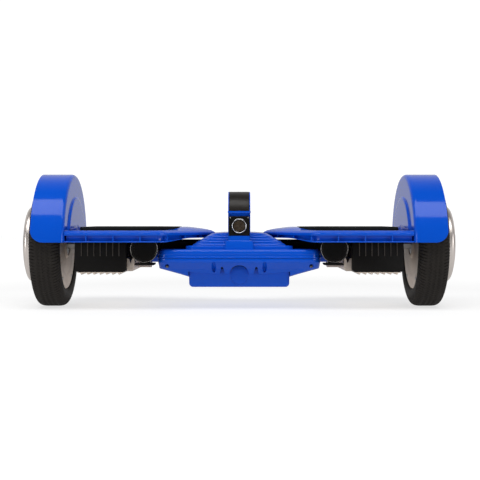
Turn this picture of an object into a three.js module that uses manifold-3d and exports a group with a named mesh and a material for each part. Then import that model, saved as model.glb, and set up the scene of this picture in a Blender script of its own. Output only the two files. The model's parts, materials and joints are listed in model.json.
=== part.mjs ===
// Self balancing board on two 6.5 inch wheels: a centre body with a carry handle,
// and on each side a platform that pitches on the centre tube and carries a hub motor wheel.
// Millimetres, +Z up, front towards -Y, origin on the floor under the middle.
import * as THREE from 'three';
import { ConvexGeometry } from 'three/addons/geometries/ConvexGeometry.js';
import { mergeVertices } from 'three/addons/utils/BufferGeometryUtils.js';
import Module from 'manifold-3d';

const wasm = await Module();
wasm.setup();

// ---------------------------------------------------------------- driving sizes
// Along the board the sizes run outwards from the centre body, and heights run from the axle.
const seatGap = 0.3;              // between pieces that sit on or in each other

// wheel
const wheelRadius = 83;
const axleHeight = wheelRadius;
const tyreWidth = 39.5;
const tyreSeatRadius = 60.3;
const hubProud = 13.5;            // hub cap beyond the outer side of the tyre
const hubCapRadius = 51;
const hubCapWall = 4;
const rotorWall = 5.5;
const coverInset = 3;             // inner cover set back from the inner side of the tyre
const coverThickness = 3;
const coverScrewRadius = 1.9;
const coverScrews = 5;
const magnetThickness = 3;
const airGap = 0.8;
const stackStart = 11;            // motor stack from the inner side of the tyre
const stackEndGap = 6.5;          // and from its outer side
const coilDepth = 13;
const coilOverhang = 2;
const statorHubWall = 7;
const axleRadius = 7;
const axleOverrun = 2;            // axle end beyond the motor stack
const bearingRadius = 13.5;
const bearingWidth = 5;

// centre body
const bodyHalfLength = 104.5;
const deckHalfDepth = 91;
const bodySetback = 21;           // side of the centre body from the side of the deck
const bodyHalfDepth = deckHalfDepth - bodySetback;
const bodyCorner = 13;
const seamHeight = axleHeight - 16.7;
const shellWall = 3;
const facetTop = axleHeight - 22;
const endBottom = axleHeight - 30.6;
const endHalfDepth = bodyHalfDepth - 10;
const lobeBottom = axleHeight - 41.6;
const lobeHalfLength = 65.5;
const lobeHalfDepth = bodyHalfDepth - 18;
const hipX = 75;
const hipHeight = lobeBottom + 3;
const hipHalfDepth = bodyHalfDepth - 15;
const smileSide = lobeBottom + 7.2;
const smileMiddle = lobeBottom + 4;
const shoulderTop = axleHeight - 5.3;
const shoulderInset = 4;
const hoodStepTop = shoulderTop + 4.6;
const hoodBaseX = 70;
const hoodBaseDepth = bodyHalfDepth - 9;
const hoodSlopeX = 62;
const hoodTop = axleHeight + 16.2;
const hoodTopX = 22;
const hoodTopDepth = bodyHalfDepth - 26;
const hoodKneeX = 36;
const hoodKneeTop = hoodTop - 1.4;
const hoodKneeDepth = bodyHalfDepth - 23;
const tongueClearance = 5;
const spineBottomWidth = 48;
const spineTopWidth = 28;
const spineTop = hoodTop - 4.7;
const spineFrontY = 1 - bodyHalfDepth;
const spineLean = 9;              // how far the spine leans back at its top
const spineDepth = 16;
const beamEndInset = 4.5;         // beam end from the end of the body
const beamHalfLength = bodyHalfLength - beamEndInset;
const beamHalfDepth = 19;
const beamTop = axleHeight + 6;
const beamClearance = 0.4;

// pitch pivot
const pivotHeight = axleHeight - 17.5;
const tubeRadius = 5;
const tubeWall = 1.5;
const collarWall = 1.8;
const collarRadius = tubeRadius + collarWall;
const beamBottom = pivotHeight + collarRadius + 0.7;
const collarGap = 1.2;
const collarInside = 8;           // collar length inside the body end
const collarProud = 12.1;
const collarStart = bodyHalfLength + collarGap;
const bushGap = 2.2;
const bushWall = 4;
const bushRadius = tubeRadius + bushWall;
const bushLength = 14;
const bushStart = collarStart + collarProud + bushGap;
const housingWall = 5;
const housingRadius = bushRadius + housingWall;
const tubeEnd = 12;               // tube beyond the bush
const tubeHalfLength = bushStart + bushLength + tubeEnd;
const tubeClampLength = 18;
const tubeClampInset = 12.5;      // clamp from the end of the body
const tubeClampHalfDepth = 12;
const tubeClampWall = 4;

// platform frame and covers
const bracketInnerX = bushStart + bushLength + 0.5;
const bracketWidth = 9.7;
const boxInnerX = bracketInnerX + bracketWidth + seatGap;
const boxWidth = 65.5;
const boxOuterX = boxInnerX + boxWidth;
const boxBottom = pivotHeight - housingRadius - 2.5;
const boxHalfDepth = deckHalfDepth - 25;
const boxFootProud = 6;
const boxFootDepth = boxHalfDepth + boxFootProud;
const boxFootTop = boxBottom + 17;
const boxWall = 2.5;
const boxCorner = 4;
const finCount = 7;
const finPitch = 8;
const finThickness = 1.4;
const finDrop = 4;
const bracketTop = boxBottom + 17.5;
const bracketHalfDepth = boxHalfDepth - 4;
const trayThickness = 4;
const spineHalfDepth = 12;
const spineRise = 8;              // frame spine above the pivot
const clampHalfDepth = 17;
const clampWidth = 11;
const coverGap = 0.7;             // under the deck plate
const bellyInnerX = bodyHalfLength + 1.3;
const bellyHalfDepth = boxHalfDepth - 18;
const bellyHeight = 15.5;

// fender
const fenderClearance = 7.5;      // tyre to the inside of the fender
const fenderWall = 3;
const fenderSetback = 10;         // fender wall from the fin box
const fenderInnerX = boxOuterX + fenderSetback;
const tyreClearance = 9;          // tyre side from the outside of the fender wall
const tyreInnerX = fenderInnerX + tyreClearance;
const fenderLip = 3.5;            // tyre side standing out of the fender
const fenderFillet = 5;
const fenderLipRound = 2;
const fenderCornerRadius = 16;
const fenderBossRadius = 63;
const fenderBossProud = 2;
const fenderNotchGap = 5;

// platform deck
const deckTop = axleHeight + 19;
const deckCrown = 3;
const deckLipTop = deckTop - deckCrown;
const deckLipHeight = 3.5;
const deckLipBottom = deckLipTop - deckLipHeight;
const deckFlangeThickness = 1.7;
const channelHeight = 8.5;
const deckBottom = deckLipBottom - channelHeight;
const fenderBottom = deckBottom;
const deckChamfer = 5.5;
const channelDepth = 5;
const deckWeb = 3;
const deckPlate = 3;
const tongueShoulder = 8.5;       // where the platform starts to narrow, from the end of the body
const tongueStartX = bodyHalfLength - tongueShoulder;
const tongueApexX = 29.5;         // where its two slanting edges would meet
const tongueTipRadius = 12;
const deckCornerRadius = 20;
const tongueRise = 4.8;           // how far the lower edge climbs towards the tip
const tongueLevelX = 63;
const humpX = 70;
const humpHeight = 5.5;
const humpTop = deckTop + humpHeight;
const humpHalfDepth = 26;
const ribPitch = 34;
const ribThickness = 1.6;
const firstRibInset = 27.2;       // first rib from the outer edge of the deck
const slantRibShares = [0.09, 0.4, 0.7];

// foot mat
const matEdge = 15.7;             // mat edge from the outer edge of the deck
const matInnerX = 79;
const matShoulderX = 112;
const matSideMargin = 19;
const matHalfDepth = deckHalfDepth - matSideMargin;
const matEndHalfDepth = matHalfDepth - 34;
const matThickness = 4.5;
const matTravel = 2;
const matClearance = 0.6;
const matCorner = 8;
const matBrow = 1.2;

// loudspeaker
const speakerRadius = 17;
const speakerRim = 1.2;
const speakerGap = 1;             // between the can and what is round it
const speakerFaceInset = 13.5;    // front of the grille from the front edge of the deck
const speakerWall = 2;
const speakerGrilleRadius = speakerRadius - 1;
const speakerGrilleThickness = 1.2;
const speakerRingDepth = 2.4;
const shelfThickness = 2.2;
const speakerArmHalfWidth = 6;

// battery
const caseHalfLength = 65;
const caseHalfDepth = lobeHalfDepth;
const caseBottom = lobeBottom - 13.2;
const caseTop = lobeBottom + 10.6;
const caseWall = 2.5;
const caseCorner = 5;
const caseBandTop = caseBottom + 9.3;
const caseBandInset = 2;
const caseGap = 0.5;
const packTop = caseTop + 4;
const packMargin = 1.5;
const tabRadius = 11.5;
const tabHeight = lobeBottom + 3.1;
const tabClearance = 1.1;
const boardThickness = 1.6;
const boardHeight = packTop + 1.3;
const boardMargin = 16;

// handle
const handleWidth = 28.6;
const handleHalfSpan = bodyHalfDepth - 8;
const handleLeg = 16;
const handleTop = axleHeight + 69.5;
const handleBar = 15;
const handleBottom = shoulderTop + 2.3;
const handleOuterRadius = 30;
const handleInnerRadius = 14;
const gripBottom = handleTop - 25.5;
const gripDepth = 2.5;
const gripEdge = 1.4;

// lamp
const visorBottom = gripBottom - 2.6;
const lampRecess = 3;
const lampPlateThickness = 2.5;
const lampPlateHeight = 25.1;
const lampPlateTop = visorBottom - 4.2;
const lampPlateBottom = lampPlateTop - lampPlateHeight;
const lampSideMargin = 0.9;
const lampHeight = (lampPlateTop + lampPlateBottom) / 2;
const lensRadius = 7.4;
const lensGap = 0.4;
const ringWall = 1.8;
const ringInnerRadius = lensRadius + lensGap;
const ringOuterRadius = ringInnerRadius + ringWall;
const ringProud = 2;
const reflectorDepth = 9;

// controls on the back
const portX = -45;
const buttonX = 45;
const turretHeight = (seamHeight + lobeBottom) / 2 + 2.1;
const turretWall = 2.5;
const portRadius = 7;
const turretRadius = portRadius + turretWall;
const portWall = 2.4;
const portBoreRadius = portRadius - portWall;
const portPinRadius = 1.2;
const portDepth = 12;
const portSetback = 2;
const capThickness = 2;
const capGap = 0.6;
const capHinge = turretHeight + turretRadius + 0.1;
const capTabHalfWidth = 4;
const buttonRadius = 6;
const buttonProud = 1.5;
const buttonLength = 9;
const buttonClearance = 0.4;

// lower shell details
const wellX = caseHalfLength / 2;
const wellRadius = 2.9;
const wellInset = 7.5;            // wells from the side of the body
const wellTop = seamHeight - 3.8;
const endScrewInset = 12;
const endScrewHeight = (endBottom + facetTop) / 2 - 0.7;
const endScrewRadius = 2.6;
const endScrewDepth = 1.6;
const bossWall = 2.3;
const keyX = 22;
const keyTop = smileMiddle + 9.6;
const keyTopWidth = 3.2;
const keyBottomWidth = 7;

// roundness of arcs and turned pieces
const arcSteps = 4;
const turnSteps = 36;
const fenderSteps = 52;
const smallTurnSteps = 16;
const innerTurnSteps = 20;

// ---------------------------------------------------------------- materials
const BLUE = { color: 0x1450d2, roughness: 0.28, metalness: 0 };
const MATT_BLACK = { color: 0x17171a, roughness: 0.6, metalness: 0 };
const RUBBER = { color: 0x1c1a18, roughness: 0.85, metalness: 0 };
const CAST = { color: 0xb9b3a6, roughness: 0.5, metalness: 0.85 };
const TURNED = { color: 0xc4c1ba, roughness: 0.32, metalness: 1 };
const CHROME = { color: 0xd8d8d8, roughness: 0.08, metalness: 1 };
const STEEL = { color: 0x8c8c8e, roughness: 0.35, metalness: 1 };
const BRONZE = { color: 0x9a7440, roughness: 0.4, metalness: 1 };
const COPPER = { color: 0xa4582c, roughness: 0.45, metalness: 0.9 };
const BOARD = { color: 0x14532d, roughness: 0.5, metalness: 0 };
const WRAP = { color: 0x1d3c78, roughness: 0.45, metalness: 0 };
const LENS = { color: 0xcfc9b4, roughness: 0.1, metalness: 0 };

const model = new THREE.Group();

function addPiece(name, solid, look) {
  const mesh = new THREE.Mesh(geometryOf(solid), new THREE.MeshStandardMaterial(look));
  mesh.name = name;
  model.add(mesh);
}

// ---------------------------------------------------------------- solids
function toSolid(geometry) {
  const bare = geometry.clone();
  bare.deleteAttribute('normal');
  bare.deleteAttribute('uv');
  const merged = mergeVertices(bare, 1e-4);
  const points = merged.attributes.position.array;
  const corners = merged.index.array;
  const kept = [];
  let volume = 0;
  const a = new THREE.Vector3();
  const b = new THREE.Vector3();
  const c = new THREE.Vector3();
  for (let i = 0; i < corners.length; i += 3) {
    const [p, q, r] = [corners[i], corners[i + 1], corners[i + 2]];
    if (p === q || q === r || r === p) continue;
    a.fromArray(points, 3 * p);
    b.fromArray(points, 3 * q);
    c.fromArray(points, 3 * r);
    volume += a.dot(b.cross(c));
    kept.push(p, q, r);
  }
  if (volume < 0) kept.reverse();
  return new wasm.Manifold(new wasm.Mesh({
    numProp: 3,
    vertProperties: new Float32Array(points),
    triVerts: new Uint32Array(kept),
  }));
}

function geometryOf(solid) {
  const mesh = solid.getMesh();
  const geometry = new THREE.BufferGeometry();
  const points = new Float32Array(mesh.vertProperties);
  geometry.setAttribute('position', new THREE.BufferAttribute(points, 3));
  geometry.setIndex(new THREE.BufferAttribute(new Uint32Array(mesh.triVerts), 1));
  geometry.computeVertexNormals();
  return geometry;
}

function join(first, ...others) {
  return others.reduce((whole, next) => whole.add(next), first);
}

function cut(first, ...others) {
  return others.reduce((whole, next) => whole.subtract(next), first);
}

// A box between two corners.
function box(x0, x1, y0, y1, z0, z1) {
  const geometry = new THREE.BoxGeometry(x1 - x0, y1 - y0, z1 - z0);
  geometry.translate((x0 + x1) / 2, (y0 + y1) / 2, (z0 + z1) / 2);
  return toSolid(geometry);
}

// A box that is symmetric about Y = 0.
function slab(x0, x1, halfDepth, z0, z1) {
  return box(x0, x1, -halfDepth, halfDepth, z0, z1);
}

// A cylinder along X, Y or Z from one end to the other.
function rod(axis, radius, from, to, centre, steps = smallTurnSteps) {
  const geometry = new THREE.CylinderGeometry(radius, radius, to - from, steps);
  const middle = (from + to) / 2;
  if (axis === 'X') {
    geometry.rotateZ(-Math.PI / 2);
    geometry.translate(middle, centre[0], centre[1]);
  } else if (axis === 'Y') {
    geometry.translate(centre[0], middle, centre[1]);
  } else {
    geometry.rotateX(Math.PI / 2);
    geometry.translate(centre[0], centre[1], middle);
  }
  return toSolid(geometry);
}

// A tube: a rod with a bore.
function tube(axis, outer, inner, from, to, centre, steps = smallTurnSteps) {
  return cut(rod(axis, outer, from, to, centre, steps), rod(axis, inner, from - 1, to + 1, centre, steps));
}

// A turned piece about an axis along X at a height; the profile is [radius, x] pairs.
function turned(profile, height, steps = turnSteps) {
  const points = profile.map(([radius, x]) => new THREE.Vector2(radius, x));
  const geometry = new THREE.LatheGeometry(points, steps);
  geometry.rotateZ(-Math.PI / 2);
  geometry.translate(0, 0, height);
  return toSolid(geometry);
}

// The corners of a polygon given anticlockwise, moved inwards by inset and rounded.
function rounded(corners, inset = 0, steps = arcSteps) {
  const count = corners.length;
  const edges = corners.map(([x, y], i) => {
    const [nx, ny] = corners[(i + 1) % count];
    const length = Math.hypot(nx - x, ny - y);
    const along = [(nx - x) / length, (ny - y) / length];
    return { at: [x - along[1] * inset, y + along[0] * inset], along };
  });
  const outline = [];
  for (let i = 0; i < count; i += 1) {
    const before = edges[(i + count - 1) % count];
    const after = edges[i];
    const turn = before.along[0] * after.along[1] - before.along[1] * after.along[0];
    const gap = [after.at[0] - before.at[0], after.at[1] - before.at[1]];
    const reach = (gap[0] * after.along[1] - gap[1] * after.along[0]) / turn;
    const corner = [before.at[0] + before.along[0] * reach, before.at[1] + before.along[1] * reach];
    const radius = Math.max((corners[i][2] ?? 0) - inset, 0);
    if (radius === 0) {
      outline.push(new THREE.Vector2(...corner));
      continue;
    }
    const angle = Math.atan2(turn, before.along[0] * after.along[0] + before.along[1] * after.along[1]);
    const back = radius * Math.tan(angle / 2);
    const start = [corner[0] - before.along[0] * back, corner[1] - before.along[1] * back];
    const centre = [start[0] - before.along[1] * radius, start[1] + before.along[0] * radius];
    const first = Math.atan2(start[1] - centre[1], start[0] - centre[0]);
    for (let k = 0; k <= steps; k += 1) {
      const at = first + (angle * k) / steps;
      outline.push(new THREE.Vector2(centre[0] + radius * Math.cos(at), centre[1] + radius * Math.sin(at)));
    }
  }
  return outline;
}

function rectangle(halfLength, halfDepth, radius, inset = 0) {
  const corners = [
    [halfLength, -halfDepth, radius],
    [halfLength, halfDepth, radius],
    [-halfLength, halfDepth, radius],
    [-halfLength, -halfDepth, radius],
  ];
  return rounded(corners, inset, 4);
}

// An outline in X and Y raised from one height to another.
function raised(outline, z0, z1) {
  const settings = { depth: z1 - z0, bevelEnabled: false };
  const geometry = new THREE.ExtrudeGeometry(new THREE.Shape(outline), settings);
  geometry.translate(0, 0, z0);
  return toSolid(geometry);
}

// An outline in X and Z carried along Y.
function alongY(outline, y0, y1) {
  const settings = { depth: y1 - y0, bevelEnabled: false };
  const geometry = new THREE.ExtrudeGeometry(new THREE.Shape(outline), settings);
  geometry.rotateX(Math.PI / 2);
  geometry.translate(0, y1, 0);
  return toSolid(geometry);
}

// An outline in Y and Z carried along X.
function alongX(outline, x0, x1) {
  const settings = { depth: x1 - x0, bevelEnabled: false };
  const geometry = new THREE.ExtrudeGeometry(new THREE.Shape(outline), settings);
  geometry.rotateX(Math.PI / 2);
  geometry.rotateZ(Math.PI / 2);
  geometry.translate(x0, 0, 0);
  return toSolid(geometry);
}

// The skin stretched over level outlines, each [outline, height].
function stretched(...layers) {
  const points = layers.flatMap(([outline, z]) => outline.map((p) => new THREE.Vector3(p.x, p.y, z)));
  return toSolid(new ConvexGeometry(points));
}

function skinOver(corners) {
  return toSolid(new ConvexGeometry(corners.map((p) => new THREE.Vector3(...p))));
}

// The same solid on the left side.
function mirrored(solid) {
  const geometry = geometryOf(solid);
  geometry.scale(-1, 1, 1);
  return toSolid(geometry);
}

// ---------------------------------------------------------------- shared outlines
const tyreOuterX = tyreInnerX + tyreWidth;
const fenderOuterX = tyreOuterX - fenderLip;
const fenderOuterRadius = wheelRadius + fenderClearance + fenderWall;
const fenderInsideRadius = wheelRadius + fenderClearance;
const deckOuterX = fenderInnerX - seatGap;
const deckUnderside = deckTop - matTravel - seatGap - deckPlate;
const boxTop = deckUnderside - coverGap;
const clampTop = deckUnderside - coverGap;
const bellyBottom = boxTop - bellyHeight;
const speakerCanRadius = speakerRadius - 1.5;
const firstRibX = deckOuterX - firstRibInset;
const matOuterX = deckOuterX - matEdge;
const speakerOuter = speakerRadius + speakerRim;
const speakerX = bodyHalfLength + speakerGap + speakerCanRadius;
const speakerHeight = deckUnderside - speakerOuter;
const speakerFrontY = speakerFaceInset - deckHalfDepth;
const speakerBackY = -bracketHalfDepth - speakerGap;
const wellDepthY = bodyHalfDepth - wellInset;
const endScrewX = bodyHalfLength - endScrewInset;
const magnetWidth = tyreWidth - stackStart - stackEndGap;

const PLATFORM = [
  [deckOuterX, -deckHalfDepth],
  [deckOuterX, deckHalfDepth],
  [tongueStartX, deckHalfDepth, deckCornerRadius],
  [tongueApexX, 0, tongueTipRadius],
  [tongueStartX, -deckHalfDepth, deckCornerRadius],
];

const MAT = [
  [matOuterX, -matHalfDepth, matCorner],
  [matOuterX, matHalfDepth, matCorner],
  [matShoulderX, matHalfDepth, matCorner],
  [matInnerX, matEndHalfDepth, matCorner],
  [matInnerX, -matEndHalfDepth, matCorner],
  [matShoulderX, -matHalfDepth, matCorner],
];

// The platform outline with extra points where its lower edge starts and stops climbing.
function platformOutline(inset) {
  const outline = rounded(PLATFORM, inset);
  const marked = [];
  outline.forEach((point, i) => {
    const next = outline[(i + 1) % outline.length];
    marked.push(point);
    const crossings = [tongueLevelX, tongueStartX]
      .map((x) => (x - point.x) / (next.x - point.x))
      .filter((share) => share > 0.001 && share < 0.999)
      .sort((a, b) => a - b);
    crossings.forEach((share) => marked.push(point.clone().lerp(next, share)));
  });
  return marked;
}

// ---------------------------------------------------------------- wheel
function tyre() {
  const w = tyreWidth;
  const R = wheelRadius;
  const seat = tyreSeatRadius;
  const profile = [
    [seat, 3], [seat + 6.7, 0.2], [R - 10, 0.3], [R - 4.5, 2.2], [R - 1.4, 5.5], [R, 10],
    [R, w - 9], [R - 1.2, w - 4.8], [R - 4, w - 1.6], [R - 9, w - 0.2], [seat + 6.7, w - 0.1],
    [seat, w - 3], [seat, 3],
  ];
  return turned(profile.map(([r, x]) => [r, x + tyreInnerX]), axleHeight);
}

const rotorRadius = tyreSeatRadius - seatGap;
const rotorBore = rotorRadius - rotorWall;
const coverBack = coverInset + coverThickness;
const hubFace = tyreWidth + hubProud;

function rotor() {
  const start = coverBack + seatGap;
  const profile = [
    [rotorBore, start], [rotorRadius, start], [rotorRadius, tyreWidth - 1], [hubCapRadius + 3, tyreWidth + 1],
    [hubCapRadius, tyreWidth + 2.5], [hubCapRadius, hubFace - 2.5], [hubCapRadius - 2.5, hubFace],
    [0, hubFace], [0, hubFace - hubCapWall], [hubCapRadius - hubCapWall, hubFace - hubCapWall],
    [hubCapRadius - hubCapWall, tyreWidth - 3], [rotorBore, tyreWidth - 5], [rotorBore, start],
  ];
  return turned(profile.map(([r, x]) => [r, x + tyreInnerX]), axleHeight);
}

function innerCover() {
  const inner = bearingRadius + seatGap;
  const profile = [
    [inner, coverInset - 2], [inner + 3, coverInset - 2], [inner + 5, coverInset], [rotorRadius - 1, coverInset],
    [rotorRadius, coverInset + 1], [rotorRadius, coverBack], [inner, coverBack], [inner, coverInset - 2],
  ];
  const disc = turned(profile.map(([r, x]) => [r, x + tyreInnerX]), axleHeight);
  const screwCircle = rotorRadius - 5;
  const holes = [];
  for (let k = 0; k < coverScrews; k += 1) {
    const angle = ((k + 0.25) * 2 * Math.PI) / coverScrews;
    const centre = [screwCircle * Math.cos(angle), axleHeight + screwCircle * Math.sin(angle)];
    holes.push(rod('X', coverScrewRadius, tyreInnerX, tyreInnerX + coverBack + 1, centre, 6));
  }
  return cut(disc, ...holes);
}

function magnetRing() {
  const outer = rotorBore - seatGap;
  const start = tyreInnerX + stackStart;
  const end = start + magnetWidth;
  return tube('X', outer, outer - magnetThickness, start, end, [0, axleHeight], innerTurnSteps);
}

function wheelBearing() {
  const start = tyreInnerX + coverInset - 1;
  const bore = axleRadius + seatGap;
  return tube('X', bearingRadius, bore, start, start + bearingWidth, [0, axleHeight]);
}

// ---------------------------------------------------------------- platform
function fender() {
  const R = fenderOuterRadius;
  const f = fenderFillet;
  const corner = [];
  for (let k = 0; k <= arcSteps; k += 1) {
    const angle = (k * Math.PI) / (2 * arcSteps);
    corner.push([R - f + f * Math.sin(angle), fenderInnerX + f - f * Math.cos(angle)]);
  }
  const outside = turned([
    [0, fenderInnerX], ...corner, [R, fenderOuterX - fenderLipRound],
    [R - 0.6 * fenderLipRound, fenderOuterX - 0.4 * fenderLipRound], [R - fenderLipRound, fenderOuterX],
    [0, fenderOuterX],
  ], axleHeight, fenderSteps);
  const bossFace = fenderInnerX - fenderBossProud;
  const boss = rod('X', fenderBossRadius, bossFace, fenderInnerX + 1, [0, axleHeight], 44);
  const inside = turned([
    [0, fenderInnerX + fenderWall], [fenderInsideRadius - f, fenderInnerX + fenderWall],
    [fenderInsideRadius, fenderInnerX + fenderWall + f], [fenderInsideRadius, fenderOuterX + 1],
    [0, fenderOuterX + 1],
  ], axleHeight, fenderSteps);
  const centreX = fenderOuterX - fenderCornerRadius;
  const centreZ = fenderBottom + fenderCornerRadius;
  const square = slab(centreX, fenderOuterX + 2, R + 2, fenderBottom - 1, centreZ);
  const round = rod('Y', fenderCornerRadius, -R - 3, R + 3, [centreX, centreZ], 24);
  const below = slab(fenderInnerX - 5, fenderOuterX + 5, R + 5, -R, fenderBottom);
  const behindDeck = slab(fenderInnerX - 5, fenderInnerX, R + 5, -R, deckTop + seatGap);
  const axleNotch = rod('X', axleRadius + 5, fenderInnerX - 5, fenderInnerX + 8, [0, axleHeight]);
  return cut(join(outside, boss), inside, below, behindDeck, cut(square, round), axleNotch);
}

// Lowers everything under the lip so that it climbs towards the tip of the tongue.
function climbing(solid) {
  const geometry = geometryOf(solid);
  const position = geometry.attributes.position;
  for (let i = 0; i < position.count; i += 1) {
    const share = (tongueStartX - position.getX(i)) / (tongueStartX - tongueLevelX);
    const rise = tongueRise * Math.min(Math.max(share, 0), 1);
    const z = position.getZ(i);
    const fall = (deckLipBottom - z) / (deckLipBottom - deckBottom);
    position.setZ(i, z + rise * Math.min(Math.max(fall, 0), 1));
  }
  return toSolid(geometry);
}

function deckRibs() {
  const ribs = [];
  const slope = Math.atan2(deckHalfDepth, tongueStartX - tongueApexX);
  const top = deckLipBottom + 0.5;
  const bottom = deckBottom + 0.5;
  const reach = channelDepth - 0.4;
  for (let x = firstRibX; x > tongueStartX + ribPitch / 2; x -= ribPitch) {
    for (const side of [-1, 1]) {
      const outer = side * (deckHalfDepth - channelDepth + reach);
      const inner = side * (deckHalfDepth - channelDepth - 1);
      const [y0, y1] = [Math.min(outer, inner), Math.max(outer, inner)];
      ribs.push(box(x - ribThickness / 2, x + ribThickness / 2, y0, y1, bottom, top));
    }
  }
  for (const share of slantRibShares) {
    for (const side of [-1, 1]) {
      const geometry = new THREE.BoxGeometry(ribThickness, reach + 1, top - bottom - tongueRise);
      geometry.translate(0, -channelDepth + (reach - 1) / 2, 0);
      geometry.rotateZ(slope);
      const x = tongueStartX + (tongueApexX - tongueStartX) * share;
      geometry.translate(x, deckHalfDepth * (1 - share), (top + bottom + tongueRise) / 2);
      if (side < 0) geometry.scale(1, -1, 1);
      ribs.push(toSolid(geometry));
    }
  }
  return ribs;
}

function deck() {
  const outer = platformOutline(0);
  const web = platformOutline(channelDepth);
  const inner = platformOutline(channelDepth + deckWeb);
  const lip = raised(outer, deckLipBottom, deckLipTop);
  const crown = stretched([outer, deckLipTop - 0.01], [rounded(PLATFORM, deckChamfer), deckTop]);
  const skirt = join(
    climbing(raised(web, deckBottom, deckLipBottom + 0.01)),
    climbing(raised(outer, deckBottom, deckBottom + deckFlangeThickness)),
  );
  const cavity = raised(inner, deckBottom - 5, deckUnderside);
  const humpFoot = rounded(PLATFORM, 1).filter((p) => p.x < tongueStartX + 8);
  const hump = skinOver([
    ...humpFoot.map((p) => [p.x, p.y, deckLipTop - 1]),
    ...humpFoot.map((p) => [p.x * 0.995 + 0.3, p.y * 0.97, deckLipTop + 0.5]),
    [humpX + 24, 0.8 * deckHalfDepth, deckTop], [humpX + 24, -0.8 * deckHalfDepth, deckTop],
    [humpX, humpHalfDepth, humpTop], [humpX, -humpHalfDepth, humpTop],
    [humpX - 9, 0.55 * humpHalfDepth, humpTop - 0.8], [humpX - 9, -0.55 * humpHalfDepth, humpTop - 0.8],
    [humpX + 12, 1.6 * humpHalfDepth, humpTop - 1.4], [humpX + 12, -1.6 * humpHalfDepth, humpTop - 1.4],
  ]);
  const pocket = raised(rounded(MAT, -matClearance), deckTop - matTravel - seatGap, humpTop + 5);
  const axleNotch = rod('X', axleRadius + fenderNotchGap, boxOuterX, deckOuterX + 5, [0, axleHeight]);
  const clampNotch = slab(boxOuterX - 10, deckOuterX + 5, clampHalfDepth + 1, deckBottom - 5, deckUnderside);
  return cut(join(lip, crown, skirt, hump, ...deckRibs()), cavity, pocket, axleNotch, clampNotch);
}

function footMat() {
  const bottom = deckTop;
  const top = bottom + matThickness;
  const edge = matBrow;
  const flat = raised(rounded(MAT), bottom, top - edge);
  const brow = stretched([rounded(MAT), top - edge - 0.01], [rounded(MAT, edge), top]);
  return join(flat, brow);
}

function finBox() {
  const corners = (z0, z1, radius) => rounded([
    [boxOuterX, z0, radius], [boxOuterX, z1], [boxInnerX, z1], [boxInnerX, z0, radius],
  ], 0, 4);
  const body = alongY(corners(boxBottom, boxTop, boxCorner), -boxHalfDepth, boxHalfDepth);
  const foot = alongY(corners(boxBottom, boxFootTop, boxCorner), -boxFootDepth, boxFootDepth);
  const hollow = box(
    boxInnerX + boxWall, boxOuterX - boxWall, -boxHalfDepth + boxWall, boxHalfDepth - boxWall,
    boxBottom + boxWall, boxTop + 1,
  );
  const slotHalf = clampHalfDepth + 1;
  const slot = slab(boxInnerX - 1, boxOuterX + 1, slotHalf, boxBottom + boxWall, boxTop + 1);
  const middle = (boxInnerX + boxOuterX) / 2;
  const fins = [];
  for (let k = 0; k < finCount; k += 1) {
    const x = middle + (k - (finCount - 1) / 2) * finPitch;
    const [x0, x1] = [x - finThickness / 2, x + finThickness / 2];
    fins.push(slab(x0, x1, boxFootDepth - 2, boxBottom - finDrop, boxBottom + 1));
    fins.push(box(x0, x1, -boxFootDepth, -boxHalfDepth + 1, boxFootTop - 1, boxTop));
    fins.push(box(x0, x1, boxHalfDepth - 1, boxFootDepth, boxFootTop - 1, boxTop));
  }
  return cut(join(body, foot, ...fins), hollow, slot);
}

function chassis() {
  const seat = axleRadius + seatGap;
  const innerX = boxInnerX + boxWall + seatGap;
  const outerX = boxOuterX - boxWall - seatGap;
  const floor = boxBottom + boxWall + seatGap;
  const clampInner = outerX - 1;
  const clampOuter = clampInner + clampWidth;
  const spineTopHeight = pivotHeight + spineRise;
  const tray = slab(innerX, outerX, boxHalfDepth - boxWall - seatGap, floor, floor + trayThickness);
  const spine = slab(bushStart - 1, clampInner + 1, spineHalfDepth, floor + 1, spineTopHeight);
  const housing = rod('X', housingRadius, bushStart - 2, innerX + 4, [0, pivotHeight]);
  const post = slab(clampInner, clampOuter, clampHalfDepth, floor, axleHeight - seatGap);
  const upright = slab(bracketInnerX + 4, boxInnerX - seatGap, spineHalfDepth, pivotHeight, spineTopHeight);
  const left = bracketInnerX;
  const right = boxInnerX - seatGap;
  const width = right - left;
  const bracket = alongY([
    new THREE.Vector2(left + 0.28 * width, boxBottom + 0.5),
    new THREE.Vector2(right, boxBottom + 0.5),
    new THREE.Vector2(right, bracketTop),
    new THREE.Vector2(left + 0.72 * width, bracketTop - 1.5),
    new THREE.Vector2(left + 0.5 * width, bracketTop - 7),
    new THREE.Vector2(left + 0.3 * width, bracketTop - 1),
    new THREE.Vector2(left, bracketTop),
    new THREE.Vector2(left, boxBottom + 5),
  ], -bracketHalfDepth, bracketHalfDepth);
  const bore = rod('X', bushRadius + seatGap, bushStart - 5, bushStart + bushLength, [0, pivotHeight]);
  const passage = rod('X', tubeRadius + 1.5, bushStart, tubeHalfLength + 8, [0, pivotHeight]);
  const saddle = rod('X', seat, clampInner - 20, clampOuter + 1, [0, axleHeight]);
  const gap = slab(innerX - 6, innerX + 0.001, deckHalfDepth, boxBottom - 5, floor + 1);
  const frame = join(tray, spine, housing, post, upright);
  return cut(join(cut(frame, gap), bracket), bore, passage, saddle);
}

function axleClamp() {
  const inner = boxOuterX - boxWall - seatGap - 1;
  const block = slab(inner, inner + clampWidth, clampHalfDepth, axleHeight + seatGap, clampTop);
  return cut(block, rod('X', axleRadius + seatGap, inner - 1, inner + clampWidth + 1, [0, axleHeight]));
}

function axle() {
  const end = tyreInnerX + stackStart + magnetWidth + axleOverrun;
  return rod('X', axleRadius, boxOuterX - 8, end, [0, axleHeight]);
}

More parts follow.
